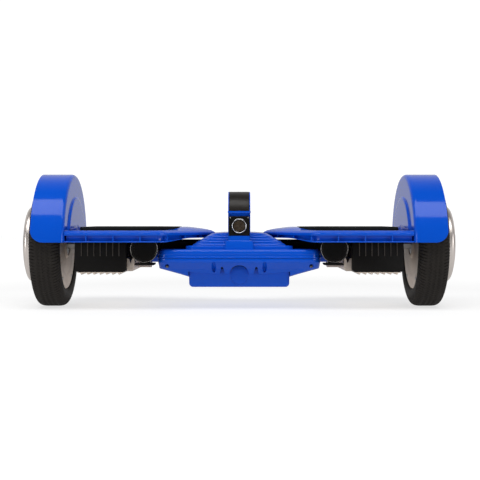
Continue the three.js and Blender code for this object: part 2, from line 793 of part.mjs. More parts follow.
function stator() {
  const outer = rotorBore - seatGap - magnetThickness - airGap;
  const bore = axleRadius + seatGap;
  const start = tyreInnerX + stackStart;
  const end = start + magnetWidth;
  const hub = bore + statorHubWall;
  const coil = outer - coilDepth;
  const web = (end - start) / 3.7;
  const profile = [
    [bore, start], [hub, start], [hub, start + web], [coil, start + web], [coil, start - coilOverhang],
    [outer, start - coilOverhang], [outer, end + coilOverhang], [coil, end + coilOverhang],
    [coil, end - web], [hub, end - web], [hub, end], [bore, end], [bore, start],
  ];
  return turned(profile, axleHeight, innerTurnSteps);
}

function pivotBush() {
  const from = bushStart - 1;
  return tube('X', bushRadius, tubeRadius + seatGap, from, from + bushLength, [0, pivotHeight]);
}

function bellyCover() {
  const wall = boxWall;
  const outerX = boxInnerX - 2 * seatGap;
  const outer = slab(bellyInnerX, outerX, bellyHalfDepth, bellyBottom, boxTop);
  const hollow = slab(bellyInnerX + wall, outerX - wall, bellyHalfDepth - wall, bellyBottom + wall, boxTop + 1);
  return cut(outer, hollow);
}

function speakerCan() {
  const at = [speakerX, speakerHeight];
  const can = rod('Y', speakerCanRadius, speakerFrontY + 4, speakerBackY, at, innerTurnSteps);
  const flange = rod('Y', speakerRadius, speakerFrontY + 3.5, speakerFrontY + 5.5, at, innerTurnSteps);
  const bore = speakerCanRadius - speakerWall;
  const hollow = rod('Y', bore, speakerFrontY, speakerBackY - speakerWall, at, innerTurnSteps);
  const shelfTop = speakerHeight - speakerOuter - seatGap;
  const shelfBack = -bellyHalfDepth + 2;
  const shelfStart = bodyHalfLength + 4 * speakerGap;
  const shelfEnd = bracketInnerX - 1.5 * speakerGap;
  const shelf = box(shelfStart, shelfEnd, speakerFrontY, shelfBack, shelfTop - shelfThickness, shelfTop);
  const arm = box(
    speakerX - speakerArmHalfWidth, speakerX + speakerArmHalfWidth,
    speakerBackY - speakerWall, -bellyHalfDepth - seatGap, shelfTop - 1, speakerHeight,
  );
  return join(cut(join(can, flange), hollow), shelf, arm);
}

function speakerGrille() {
  const at = [speakerX, speakerHeight];
  const r = speakerGrilleRadius;
  const disc = rod('Y', r, speakerFrontY, speakerFrontY + speakerGrilleThickness, at, 24);
  const skirt = tube('Y', r, r - 1.5, speakerFrontY + 1, speakerFrontY + 3.2, at, 24);
  return join(disc, skirt);
}

function speakerRing() {
  const at = [speakerX, speakerHeight];
  const from = speakerFrontY + 0.8;
  return tube('Y', speakerOuter, speakerGrilleRadius + seatGap, from, from + speakerRingDepth, at, 24);
}

function gyroBoard() {
  const floor = boxBottom + boxWall + seatGap + 2 * trayThickness;
  const centre = (boxInnerX + boxOuterX) / 2;
  const back = boxHalfDepth - 14;
  const top = floor + boardThickness;
  const front = spineHalfDepth + 8;
  const plate = box(centre - 20, centre + 20, front, back, floor, top);
  const chips = [[-9, 0.25], [8, 0.3], [-4, 0.7]].map(([dx, share]) => {
    const y = front + (back - front) * share;
    return box(centre + dx - 4, centre + dx + 4, y - 4, y + 4, top - 0.1, top + 2);
  });
  return join(plate, ...chips);
}

// ---------------------------------------------------------------- centre body
function lowerShell() {
  const layers = (inset, lift) => [
    [rectangle(bodyHalfLength, bodyHalfDepth, bodyCorner, inset), seamHeight + (lift > 0 ? 2 : 0) - seatGap],
    [rectangle(bodyHalfLength, bodyHalfDepth, bodyCorner, inset), facetTop + lift * 0.3],
    [rectangle(bodyHalfLength - 0.8, endHalfDepth, bodyCorner, inset), endBottom + lift],
    [rectangle(hipX, hipHalfDepth, 8, inset), hipHeight + lift],
    [rectangle(lobeHalfLength, lobeHalfDepth, 6, inset), lobeBottom + lift],
  ];
  const outside = stretched(...layers(0, 0));
  const inside = stretched(...layers(shellWall, shellWall));
  const bosses = [];
  const wells = [];
  for (const x of [-wellX, wellX]) {
    for (const y of [-wellDepthY, wellDepthY]) {
      bosses.push(rod('Z', wellRadius + bossWall, smileMiddle - 2, seamHeight - 1, [x, y], 12));
      wells.push(rod('Z', wellRadius, lobeBottom - 2, wellTop, [x, y], 12));
    }
  }
  const facetShare = (endScrewHeight - endBottom) / (facetTop - endBottom);
  const facetDepth = endHalfDepth + (bodyHalfDepth - endHalfDepth) * facetShare;
  const recessFloor = facetDepth - endScrewDepth;
  for (const x of [-endScrewX, endScrewX]) {
    wells.push(rod('Y', endScrewRadius, recessFloor, bodyHalfDepth + 5, [x, endScrewHeight], 12));
    wells.push(rod('Y', endScrewRadius, -bodyHalfDepth - 5, -recessFloor, [x, endScrewHeight], 12));
  }
  const smile = [];
  for (let k = 0; k <= 10; k += 1) {
    const x = (caseHalfLength + caseGap) * (1 - k / 5);
    const share = Math.abs(1 - k / 5);
    smile.push(new THREE.Vector2(x, smileMiddle + (smileSide - smileMiddle) * share ** 3));
  }
  const batteryMouth = alongY([
    new THREE.Vector2(-caseHalfLength - caseGap, lobeBottom - 10),
    new THREE.Vector2(caseHalfLength + caseGap, lobeBottom - 10),
    ...smile,
  ], -bodyHalfDepth, bodyHalfDepth);
  const tabArch = rod('Y', tabRadius + tabClearance, -bodyHalfDepth, bodyHalfDepth, [0, tabHeight], 24);
  const keys = [-keyX, keyX].map((x) => alongY([
    new THREE.Vector2(x - keyBottomWidth / 2, smileMiddle - 2),
    new THREE.Vector2(x + keyBottomWidth / 2, smileMiddle - 2),
    new THREE.Vector2(x + keyTopWidth / 2, keyTop - 1.5),
    new THREE.Vector2(x + keyTopWidth / 4, keyTop),
    new THREE.Vector2(x - keyTopWidth / 4, keyTop),
    new THREE.Vector2(x - keyTopWidth / 2, keyTop - 1.5),
  ], -bodyHalfDepth, bodyHalfDepth));
  const turrets = [];
  const turretBores = [];
  for (const [x, bore] of [[portX, portRadius], [buttonX, buttonRadius + buttonClearance]]) {
    turrets.push(rod('Y', turretRadius, hipHalfDepth - 5, bodyHalfDepth, [x, turretHeight], 20));
    turretBores.push(rod('Y', bore + (x === portX ? seatGap : 0), hipHalfDepth - 8, bodyHalfDepth + 2,
      [x, turretHeight], 20));
  }
  const caseRoom = caseHalfLength + caseGap;
  const caseSpace = slab(-caseRoom, caseRoom, caseHalfDepth + caseGap, lobeBottom, caseTop + 1);
  const tubeHoles = rod('X', collarRadius + 0.5, -bodyHalfLength - 5, bodyHalfLength + 5, [0, pivotHeight]);
  const shell = cut(join(cut(outside, inside), ...bosses.map((b) => b.intersect(outside)), ...turrets),
    caseSpace, batteryMouth, tabArch, ...keys, ...wells, ...turretBores, tubeHoles);
  return shell;
}

// The room that both tongues need above the shoulders of the hood.
function tongueRoom(from) {
  const outline = rounded(PLATFORM, -tongueClearance);
  const right = raised(outline, from, humpTop + 20);
  return [right, mirrored(right)];
}

function hood() {
  const flank = stretched(
    [rectangle(bodyHalfLength, bodyHalfDepth, bodyCorner), seamHeight],
    [rectangle(bodyHalfLength, bodyHalfDepth, bodyCorner), shoulderTop - 4],
    [rectangle(bodyHalfLength, bodyHalfDepth, bodyCorner, 1.5), shoulderTop - 1.2],
    [rectangle(bodyHalfLength, bodyHalfDepth, bodyCorner, shoulderInset), shoulderTop],
  );
  const hollow = stretched(
    [rectangle(bodyHalfLength, bodyHalfDepth, bodyCorner, shellWall), seamHeight - 1],
    [rectangle(bodyHalfLength, bodyHalfDepth, bodyCorner, shellWall + 1), shoulderTop - shellWall],
  );
  const domeLayers = (inset, drop) => [
    [rectangle(hoodBaseX, hoodBaseDepth, 14, inset), shoulderTop - 3],
    [rectangle(hoodBaseX - 1, hoodBaseDepth - 1, 14, inset), hoodStepTop - drop],
    [rectangle(hoodSlopeX, hoodBaseDepth - 3, 14, inset), hoodStepTop + 0.3 - drop],
    [rectangle(hoodKneeX, hoodKneeDepth, 12, inset), hoodKneeTop - drop],
    [rectangle(hoodTopX, hoodTopDepth, 10, inset), hoodTop - drop],
  ];
  const dome = stretched(...domeLayers(0, 0));
  const domeHollow = stretched(...domeLayers(shellWall, shellWall));
  const spines = [-1, 1].map((side) => skinOver([
    ...[[spineBottomWidth, spineFrontY, shoulderTop - 1.3], [spineTopWidth, spineFrontY + spineLean, spineTop]]
      .flatMap(([width, y, z]) => [-1, 1].flatMap((s) => [
        [(s * width) / 2, side * -y, z], [(s * width) / 2, side * (-y - spineDepth), z],
      ])),
    [-spineBottomWidth / 2, side * (-spineFrontY - spineDepth), shoulderTop - 3],
    [spineBottomWidth / 2, side * (-spineFrontY - spineDepth), shoulderTop - 3],
    [-spineBottomWidth / 2, -side * spineFrontY, shoulderTop - 3],
    [spineBottomWidth / 2, -side * spineFrontY, shoulderTop - 3],
  ]));
  const legs = [-1, 1].map((side) => {
    const outer = side * (handleHalfSpan + seatGap);
    const inner = side * (handleHalfSpan - handleLeg - seatGap);
    const half = handleWidth / 2 + seatGap;
    return box(-half, half, Math.min(outer, inner), Math.max(outer, inner), seamHeight, hoodTop + 10);
  });
  const beamSlot = slab(-beamHalfLength - beamClearance, beamHalfLength + beamClearance,
    beamHalfDepth + beamClearance, seamHeight - 2, beamTop + beamClearance);
  const solid = join(flank, dome, ...spines);
  const tubeHoles = rod('X', collarRadius + 0.5, -bodyHalfLength - 5, bodyHalfLength + 5, [0, pivotHeight]);
  return cut(solid, hollow, domeHollow, beamSlot, ...legs, tubeHoles, ...tongueRoom(hoodStepTop - 0.3));
}

function chassisBeam() {
  const edge = 3;
  const h = beamHalfDepth;
  const section = rounded([
    [h, beamBottom, 1.5], [h, beamTop, edge], [-h, beamTop, edge], [-h, beamBottom, 1.5],
  ], 0, 3);
  return alongX(section, -beamHalfLength, beamHalfLength);
}

function pivotTube() {
  return tube('X', tubeRadius, tubeRadius - tubeWall, -tubeHalfLength, tubeHalfLength, [0, pivotHeight]);
}

function pivotCollar() {
  const from = collarStart - collarGap - collarInside;
  return tube('X', collarRadius, tubeRadius + seatGap, from, collarStart + collarProud, [0, pivotHeight]);
}

function tubeClamp() {
  const outer = bodyHalfLength - tubeClampInset;
  const inner = outer - tubeClampLength;
  const bottom = pivotHeight - tubeRadius - tubeClampWall;
  const block = slab(inner, outer, tubeClampHalfDepth, bottom, beamBottom - seatGap);
  return cut(block, rod('X', tubeRadius + seatGap, inner - 1, outer + 1, [0, pivotHeight]));
}

function batteryCase() {
  const band = caseBandInset;
  const section = (halfLength, inset) => rounded([
    [halfLength - inset, caseBottom + inset, caseCorner], [halfLength - inset, caseTop + (inset > 0 ? 5 : 0)],
    [-halfLength + inset, caseTop + (inset > 0 ? 5 : 0)], [-halfLength + inset, caseBottom + inset, caseCorner],
  ], 0, 5);
  const block = alongY(section(caseHalfLength, 0), -caseHalfDepth, caseHalfDepth);
  const hollow = alongY(section(caseHalfLength, caseWall), -caseHalfDepth + caseWall + band,
    caseHalfDepth - caseWall - band);
  const tucks = [-1, 1].map((side) => alongX([
    new THREE.Vector2(side * (caseHalfDepth + 1), caseBottom - 1),
    new THREE.Vector2(side * (caseHalfDepth - band), caseBottom - 1),
    new THREE.Vector2(side * caseHalfDepth, caseBandTop),
    new THREE.Vector2(side * (caseHalfDepth + 1), caseBandTop),
  ], -caseHalfLength - 1, caseHalfLength + 1));
  const tab = rod('Y', tabRadius, -caseHalfDepth, -caseHalfDepth + caseWall, [0, tabHeight], 24);
  const rearTab = rod('Y', tabRadius, caseHalfDepth - caseWall, caseHalfDepth, [0, tabHeight], 24);
  return join(cut(block, hollow, ...tucks), tab, rearTab);
}

function batteryPack() {
  const length = caseHalfLength - caseWall - packMargin - 1;
  const depth = caseHalfDepth - caseWall - caseBandInset - packMargin;
  const bottom = caseBottom + caseWall + 1;
  return stretched(
    [rectangle(length, depth, 6, 1.5), bottom], [rectangle(length, depth, 6), bottom + 2],
    [rectangle(length, depth, 6), packTop - 2], [rectangle(length, depth, 6, 1.5), packTop],
  );
}

function controlBoard() {
  const length = bodyHalfLength - tubeClampInset - tubeClampLength - boardMargin;
  const plate = slab(-length, length, caseHalfDepth - 12, boardHeight, boardHeight + boardThickness);
  const top = boardHeight + boardThickness;
  const parts = [[-34, -24], [-12, -26], [14, -24], [38, -22], [-30, 24], [4, 26], [34, 24]].map(([x, y]) => (
    box(x - 6, x + 6, y - 5, y + 5, top - 0.1, top + 5)
  ));
  return join(plate, ...parts);
}

// ---------------------------------------------------------------- handle and lamp
function handleSection(inset, radius) {
  const half = handleHalfSpan - inset;
  return rounded([
    [half, handleBottom], [half, handleTop - inset, radius], [-half, handleTop - inset, radius],
    [-half, handleBottom],
  ], 0, 8);
}

function gripBand(halfWidth, lift, low) {
  const outer = alongX(handleSection(-lift, handleOuterRadius + lift), -halfWidth, halfWidth);
  const inner = alongX(handleSection(gripDepth, handleOuterRadius - gripDepth), -halfWidth - 1, halfWidth + 1);
  const below = slab(-halfWidth - 2, halfWidth + 2, handleHalfSpan + 5, handleBottom - 5, low);
  return cut(outer, inner, below);
}

function handleArch() {
  const half = handleWidth / 2;
  const outer = alongX(handleSection(0, handleOuterRadius), -half, half);
  const opening = handleHalfSpan - handleLeg;
  const mouthBottom = handleBottom - 5;
  const mouthTop = handleTop - handleBar;
  const mouth = alongX(rounded([
    [opening, mouthBottom], [opening, mouthTop, handleInnerRadius],
    [-opening, mouthTop, handleInnerRadius], [-opening, mouthBottom],
  ], 0, 6), -half - 1, half + 1);
  const gripRoom = gripBand(half - gripEdge + seatGap, 1, gripBottom - seatGap);
  const recessHalf = half - 0.5;
  const recess = box(-recessHalf, recessHalf, -handleHalfSpan - 1, -handleHalfSpan + lampRecess,
    lampPlateBottom - seatGap, visorBottom);
  const lampBore = rod('Y', lensRadius + 1.4, -handleHalfSpan, -handleHalfSpan + lampRecess + reflectorDepth + 1,
    [0, lampHeight]);
  return cut(outer, mouth, gripRoom, recess, lampBore);
}

function gripStrip() {
  const half = handleWidth / 2 - gripEdge;
  const depth = gripDepth - seatGap;
  const inner = alongX(handleSection(depth, handleOuterRadius - depth), -half - 1, half + 1);
  const outer = alongX(handleSection(0, handleOuterRadius), -half, half);
  return cut(outer, inner, slab(-half - 2, half + 2, handleHalfSpan + 5, handleBottom - 5, gripBottom));
}

function lampPlate() {
  const back = -handleHalfSpan + lampRecess - seatGap;
  const half = handleWidth / 2 - lampSideMargin;
  const plate = alongY(rounded([
    [half, lampPlateBottom, 2], [half, lampPlateTop, 2], [-half, lampPlateTop, 2], [-half, lampPlateBottom, 2],
  ], 0, 4), back - lampPlateThickness, back);
  return cut(plate, rod('Y', lensRadius + seatGap, back - 5, back + 1, [0, lampHeight]));
}

const lampFaceY = -handleHalfSpan + lampRecess - seatGap - lampPlateThickness;

function lampRing() {
  const from = lampFaceY - ringProud - seatGap;
  return tube('Y', ringOuterRadius, ringInnerRadius, from, lampFaceY - seatGap, [0, lampHeight], 28);
}

function lampLens() {
  const from = lampFaceY - ringProud + 0.6;
  return rod('Y', lensRadius, from, lampFaceY + lampPlateThickness - 0.2, [0, lampHeight], 24);
}

function lampReflector() {
  const from = -handleHalfSpan + lampRecess + seatGap;
  const cup = rod('Y', lensRadius + 0.9, from, from + reflectorDepth, [0, lampHeight]);
  return cut(cup, rod('Y', lensRadius - 0.8, from - 1, from + reflectorDepth - 2, [0, lampHeight]));
}

// ---------------------------------------------------------------- controls
function chargeSocket() {
  const face = bodyHalfDepth - portSetback;
  const body = rod('Y', portRadius, face - portDepth, face, [portX, turretHeight]);
  const bore = rod('Y', portBoreRadius, face - portDepth + 2, face + 1, [portX, turretHeight]);
  const pin = rod('Y', portPinRadius, face - portDepth + 1, face - 2, [portX, turretHeight], 12);
  return join(cut(body, bore), pin);
}

function chargeCap() {
  const front = bodyHalfDepth + capGap;
  const disc = rod('Y', turretRadius - 0.3, front, front + capThickness, [portX, turretHeight], 20);
  const tab = box(
    portX - capTabHalfWidth, portX + capTabHalfWidth, front, front + capThickness, turretHeight, capHinge + 1,
  );
  const plug = tube('Y', portRadius - 0.4, portRadius - 1.6, bodyHalfDepth - portSetback + 0.5, front + 0.5,
    [portX, turretHeight], 20);
  return join(disc, tab, plug);
}

function powerButton() {
  const face = bodyHalfDepth + buttonProud;
  const stem = rod('Y', buttonRadius, face - buttonLength, face - 0.6, [buttonX, turretHeight], 20);
  const crown = rod('Y', buttonRadius - 0.8, face - 1, face, [buttonX, turretHeight], 20);
  return join(stem, crown);
}

// ---------------------------------------------------------------- assembly
const SIDE_PIECES = [
  ['tyre', tyre, RUBBER],
  ['rotor', rotor, TURNED],
  ['wheel_inner_cover', innerCover, CAST],
  ['magnet_ring', magnetRing, STEEL],
  ['wheel_bearing', wheelBearing, STEEL],
  ['fender', fender, BLUE],
  ['deck', deck, BLUE],
  ['foot_mat', footMat, RUBBER],
  ['fin_box', finBox, MATT_BLACK],
  ['chassis', chassis, CAST],
  ['axle_clamp', axleClamp, CAST],
  ['axle', axle, STEEL],
  ['stator', stator, COPPER],
  ['pivot_bush', pivotBush, BRONZE],
  ['belly_cover', bellyCover, MATT_BLACK],
  ['speaker_can', speakerCan, MATT_BLACK],
  ['speaker_grille', speakerGrille, MATT_BLACK],
  ['speaker_ring', speakerRing, CHROME],
  ['gyro_board', gyroBoard, BOARD],
  ['pivot_collar', pivotCollar, BLUE],
  ['tube_clamp', tubeClamp, CAST],
];

for (const [name, make, look] of SIDE_PIECES) {
  const solid = make();
  addPiece(`${name}_right`, solid, look);
  addPiece(`${name}_left`, mirrored(solid), look);
}

addPiece('centre_lower_shell', lowerShell(), BLUE);
addPiece('centre_hood', hood(), BLUE);
addPiece('chassis_beam', chassisBeam(), MATT_BLACK);
addPiece('pivot_tube', pivotTube(), STEEL);
addPiece('battery_case', batteryCase(), BLUE);
addPiece('battery_pack', batteryPack(), WRAP);
addPiece('control_board', controlBoard(), BOARD);
addPiece('handle_arch', handleArch(), BLUE);
addPiece('handle_grip', gripStrip(), MATT_BLACK);
addPiece('lamp_plate', lampPlate(), MATT_BLACK);
addPiece('lamp_ring', lampRing(), CHROME);
addPiece('lamp_lens', lampLens(), LENS);
addPiece('lamp_reflector', lampReflector(), CHROME);
addPiece('charge_socket', chargeSocket(), MATT_BLACK);
addPiece('charge_cap', chargeCap(), RUBBER);
addPiece('power_button', powerButton(), MATT_BLACK);

export default model;
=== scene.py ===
"""Looks of the self balancing board: detailed shells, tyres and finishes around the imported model."""
import json
import math

import bmesh
import bpy
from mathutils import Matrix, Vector


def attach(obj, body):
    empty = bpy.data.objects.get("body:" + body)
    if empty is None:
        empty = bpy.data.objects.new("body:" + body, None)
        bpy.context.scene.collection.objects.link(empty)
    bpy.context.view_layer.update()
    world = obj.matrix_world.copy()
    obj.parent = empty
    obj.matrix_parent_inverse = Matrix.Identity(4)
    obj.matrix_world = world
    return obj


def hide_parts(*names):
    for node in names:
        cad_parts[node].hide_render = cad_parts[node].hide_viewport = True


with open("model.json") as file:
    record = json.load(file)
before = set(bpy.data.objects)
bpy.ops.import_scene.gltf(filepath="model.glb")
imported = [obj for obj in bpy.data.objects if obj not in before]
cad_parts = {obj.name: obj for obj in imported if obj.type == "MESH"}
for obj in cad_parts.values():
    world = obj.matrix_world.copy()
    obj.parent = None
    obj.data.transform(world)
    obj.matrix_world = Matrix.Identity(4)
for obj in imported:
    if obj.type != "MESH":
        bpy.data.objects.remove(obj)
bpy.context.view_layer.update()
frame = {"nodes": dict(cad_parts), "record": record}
NODES = frame["nodes"]
MM = 0.001

# ------------------------------------------------------------------ camera and light
CAMERA_DISTANCE = 1.293          # from the wheel axle line to the lens
CAMERA_HEIGHT = 0.1153
CAMERA_SIDE = 0.001
LENS = 71.9
SENSOR = 36.0
FRAME_SHIFT = -0.0417            # keeps the camera level and the board in the middle of the frame


def added(name, data):
    piece = bpy.data.objects.new(name, data)
    bpy.context.scene.collection.objects.link(piece)
    return piece


def make_camera():
    data = bpy.data.cameras.new("front_camera")
    data.lens = LENS
    data.sensor_width = SENSOR
    data.shift_y = FRAME_SHIFT
    camera = added("front_camera", data)
    camera.location = (CAMERA_SIDE, -CAMERA_DISTANCE, CAMERA_HEIGHT)
    camera.rotation_euler = (math.radians(90), 0, 0)
    bpy.context.scene.camera = camera


def add_area_light(name, place, target, size, power, size_y=None):
    data = bpy.data.lights.new(name, "AREA")
    data.energy = power
    data.shape = "RECTANGLE"
    data.size = size
    data.size_y = size_y or size
    light = added(name, data)
    light.location = place
    aim = Vector(target) - Vector(place)
    light.rotation_euler = aim.to_track_quat("-Z", "Y").to_euler()


def make_studio():
    """White studio behind and around the board, dark towards the lens, and soft boxes above."""
    world = bpy.data.worlds.new("studio")
    bpy.context.scene.world = world
    world.use_nodes = True
    tree = world.node_tree
    towards = tree.nodes.new("ShaderNodeTexCoord")
    parts = tree.nodes.new("ShaderNodeSeparateXYZ")
    wall = tree.nodes.new("ShaderNodeMapRange")
    seen = tree.nodes.new("ShaderNodeLightPath")
    strength = tree.nodes.new("ShaderNodeMix")
    tree.links.new(towards.outputs["Generated"], parts.inputs[0])
    tree.links.new(parts.outputs["Y"], wall.inputs["Value"])
    wall.inputs["From Min"].default_value = 0.1
    wall.inputs["From Max"].default_value = 0.7
    wall.inputs["To Min"].default_value = WORLD_FRONT
    wall.inputs["To Max"].default_value = WORLD_BACK
    tree.links.new(seen.outputs["Is Camera Ray"], strength.inputs[0])
    tree.links.new(wall.outputs[0], strength.inputs[2])
    strength.inputs[3].default_value = 1.1
    background = tree.nodes["Background"]
    background.inputs["Color"].default_value = (1, 1, 1, 1)
    tree.links.new(strength.outputs[0], background.inputs["Strength"])
    bpy.context.scene.view_settings.view_transform = "Standard"
    add_area_light("front_softbox", (-0.1, -0.8, 1.5), (0, 0, 0.1), 2.2, 24, 0.8)
    add_area_light("left_key", (-1.7, -1.5, 0.35), (0, 0, 0.08), 0.9, 9, 0.7)
    add_area_light("right_key", (1.7, -1.5, 0.35), (0, 0, 0.08), 0.9, 9, 0.7)
    add_area_light("left_fill", (-1.8, 0.1, 0.95), (0, 0, 0.1), 2.0, 3.4, 1.5)
    add_area_light("right_fill", (1.8, 0.1, 0.95), (0, 0, 0.1), 2.0, 3.4, 1.5)


WORLD_FRONT = 0.04
WORLD_BACK = 0.62
FLOOR_NEAR = 0.5                # metres from the middle where the paper starts to glow
FLOOR_FAR = 1.1


def make_floor():
    half_width, front, back = 4.0, -1.0, 6.0
    corners = [(-half_width, front), (half_width, front), (half_width, back), (-half_width, back)]
    mesh = bpy.data.meshes.new("studio_floor")
    mesh.from_pydata([(x, y, -0.0004) for x, y in corners], [], [(0, 1, 2, 3)])
    floor = added("studio_floor", mesh)
    paper = Finish("studio_paper", (0.4, 0.4, 0.4), rough=0.95, specular=0.0)
    reach = paper.node("ShaderNodeVectorMath", {"operation": "LENGTH"}, {0: paper.place()}, output=1)
    glow = paper.node("ShaderNodeMapRange", {},
                      {"Value": reach, "From Min": FLOOR_NEAR, "From Max": FLOOR_FAR})
    paper.surface.inputs["Emission Strength"].default_value = 0.8
    seen = paper.node("ShaderNodeLightPath")
    bright = paper.mix(glow, (0.84, 0.84, 0.84, 1), (1.15, 1.15, 1.15, 1))
    paper.feed("Emission Color", paper.mix(seen, (0.42, 0.42, 0.42, 1), bright))
    floor.data.materials.append(paper.material)


# ------------------------------------------------------------------ shader helpers
class Channel:
    """An output socket of a node tree that takes part in arithmetic."""

    def __init__(self, finish, socket):
        self.finish = finish
        self.socket = socket

    def _math(self, operation, first, second=None):
        sockets = {0: first} if second is None else {0: first, 1: second}
        return self.finish.node("ShaderNodeMath", {"operation": operation}, sockets)

    def __add__(self, other):
        return self._math("ADD", self, other)

    __radd__ = __add__

    def __sub__(self, other):
        return self._math("SUBTRACT", self, other)

    def __rsub__(self, other):
        return self._math("SUBTRACT", other, self)

    def __mul__(self, other):
        return self._math("MULTIPLY", self, other)

    __rmul__ = __mul__

    def __pow__(self, other):
        return self._math("POWER", self, other)

    def sine(self):
        return self._math("SINE", self)


class Finish:
    """One material: a Principled surface and the nodes that feed it."""

    def __init__(self, name, colour, rough, metal=0.0, coat=0.0, specular=0.5):
        self.material = bpy.data.materials.new(name)
        self.material.use_nodes = True
        self.tree = self.material.node_tree
        self.surface = self.tree.nodes["Principled BSDF"]
        self.surface.inputs["Base Color"].default_value = (*colour, 1)
        self.surface.inputs["Roughness"].default_value = rough
        self.surface.inputs["Metallic"].default_value = metal
        self.surface.inputs["Coat Weight"].default_value = coat
        self.surface.inputs["Specular IOR Level"].default_value = specular

    def node(self, kind, settings=None, sockets=None, output=0):
        made = self.tree.nodes.new(kind)
        for key, value in (settings or {}).items():
            if key == "stops":
                ramp = made.color_ramp
                while len(ramp.elements) < len(value):
                    ramp.elements.new(0.5)
                for element, (position, shade) in zip(ramp.elements, value):
                    element.position = position
                    element.color = (*shade, 1) if isinstance(shade, tuple) else (shade, shade, shade, 1)
            else:
                setattr(made, key, value)
        for key, value in (sockets or {}).items():
            if isinstance(value, Channel):
                self.tree.links.new(value.socket, made.inputs[key])
            else:
                made.inputs[key].default_value = value
        return Channel(self, made.outputs[output])

    def done(self, colour, rough, normal):
        """The material, with what its surface is fed."""
        for socket, value in (("Base Color", colour), ("Roughness", rough), ("Normal", normal)):
            self.feed(socket, value)
        return self.material

    def feed(self, socket, value):
        if isinstance(value, Channel):
            self.tree.links.new(value.socket, self.surface.inputs[socket])
        else:
            self.surface.inputs[socket].default_value = value

    def place(self):
        """Position on the piece, in metres, moving with it."""
        return self.node("ShaderNodeTexCoord", output="Object")

    def part(self, vector, axis):
        return self.node("ShaderNodeSeparateXYZ", {}, {0: vector}, output=axis)

    def stretched(self, vector, scale):
        return self.node("ShaderNodeVectorMath", {"operation": "MULTIPLY"}, {0: vector, 1: scale})

    def grain(self, vector, scale, detail=3.0, rough=0.55):
        sockets = {"Vector": vector, "Scale": scale, "Detail": detail, "Roughness": rough}
        return self.node("ShaderNodeTexNoise", {}, sockets, output="Fac")

    def cells(self, vector, scale, feature="F1"):
        sockets = {"Vector": vector, "Scale": scale}
        return self.node("ShaderNodeTexVoronoi", {"feature": feature}, sockets, output="Distance")

    def ramp(self, value, *stops):
        return self.node("ShaderNodeValToRGB", {"stops": stops}, {0: value})

    def level(self, value, low, high):
        """0 to 1 turned into low to high."""
        return self.node("ShaderNodeMapRange", {}, {"Value": value, "To Min": low, "To Max": high})

    def mix(self, share, first, second):
        return self.node("ShaderNodeMix", {"data_type": "RGBA"}, {0: share, 6: first, 7: second}, output=2)

    def bump(self, height, strength, distance, under=None):
        sockets = {"Height": height, "Strength": strength, "Distance": distance}
        if under is not None:
            sockets["Normal"] = under
        return self.node("ShaderNodeBump", {}, sockets)


# ------------------------------------------------------------------ finishes
def blue_shell():
    f = Finish("blue_moulded_shell", (0.002, 0.085, 0.60), rough=0.2, coat=0.12, specular=0.2)
    f.surface.inputs["Coat Roughness"].default_value = 0.05
    at = f.place()
    mottling = f.grain(at, 9, 2)
    fine = f.grain(at, 900, 2)
    dust = f.ramp(f.grain(at, 140, 6, 0.7), (0.56, 0.0), (0.78, 1.0))
    deep = f.mix(mottling, (0.0015, 0.075, 0.56, 1), (0.004, 0.095, 0.66, 1))
    peel = f.bump(f.grain(at, 240, 1), 0.03, 0.0003)
    return f.done(f.mix(dust * 0.03, deep, (0.2, 0.3, 0.6, 1)),
                  f.level(f.grain(at, 60, 4), 0.09, 0.17) + dust * 0.08,
                  f.bump(fine, 0.03, 0.00006, peel))


def black_moulding(name="black_moulding", colour=(0.005, 0.0043, 0.0038), low=0.42, high=0.62):
    f = Finish(name, colour, rough=0.5, specular=0.14)
    at = f.place()
    pebble = f.cells(at, 1500)
    dust = f.ramp(f.grain(at, 70, 7, 0.75), (0.5, 0.0), (0.85, 1.0))
    grey = tuple(c + 0.012 for c in colour)
    return f.done(f.mix(dust * 0.35, (*colour, 1), (*grey, 1)),
                  f.level(f.grain(at, 180, 3), low, high),
                  f.bump(pebble, 0.22, 0.00015))


def tyre_rubber():
    f = Finish("tyre_rubber", (0.016, 0.0145, 0.013), rough=0.78, specular=0.3)
    at = f.place()
    scuff = f.ramp(f.grain(at, 55, 8, 0.7), (0.42, 0.0), (0.75, 1.0))
    bloom = f.grain(at, 14, 3)
    base = f.mix(bloom, (0.009, 0.0068, 0.0055, 1), (0.018, 0.0138, 0.0108, 1))
    return f.done(f.mix(scuff * 0.4, base, (0.045, 0.041, 0.036, 1)),
                  f.level(scuff, 0.66, 0.9),
                  f.bump(f.grain(at, 1400, 4, 0.7), 0.25, 0.0002))


def mat_rubber():
    f = Finish("mat_rubber", (0.014, 0.015, 0.014), rough=0.7, specular=0.1)
    at = f.place()
    dust = f.ramp(f.grain(at, 40, 7, 0.7), (0.45, 0.0), (0.8, 1.0))
    return f.done(f.mix(dust * 0.4, (0.010, 0.0108, 0.0102, 1), (0.032, 0.032, 0.03, 1)),
                  f.level(f.grain(at, 200, 3), 0.72, 0.92),
                  f.bump(f.cells(at, 900), 0.3, 0.0002))


def grip_rubber():
    f = Finish("grip_rubber", (0.02, 0.017, 0.0155), rough=0.34, specular=0.25)
    at = f.place()
    return f.done(f.mix(f.grain(at, 50, 5), (0.009, 0.0072, 0.006, 1), (0.02, 0.0165, 0.014, 1)),
                  f.level(f.grain(at, 120, 5), 0.26, 0.46),
                  f.bump(f.grain(at, 1800, 3, 0.7), 0.16, 0.0001))


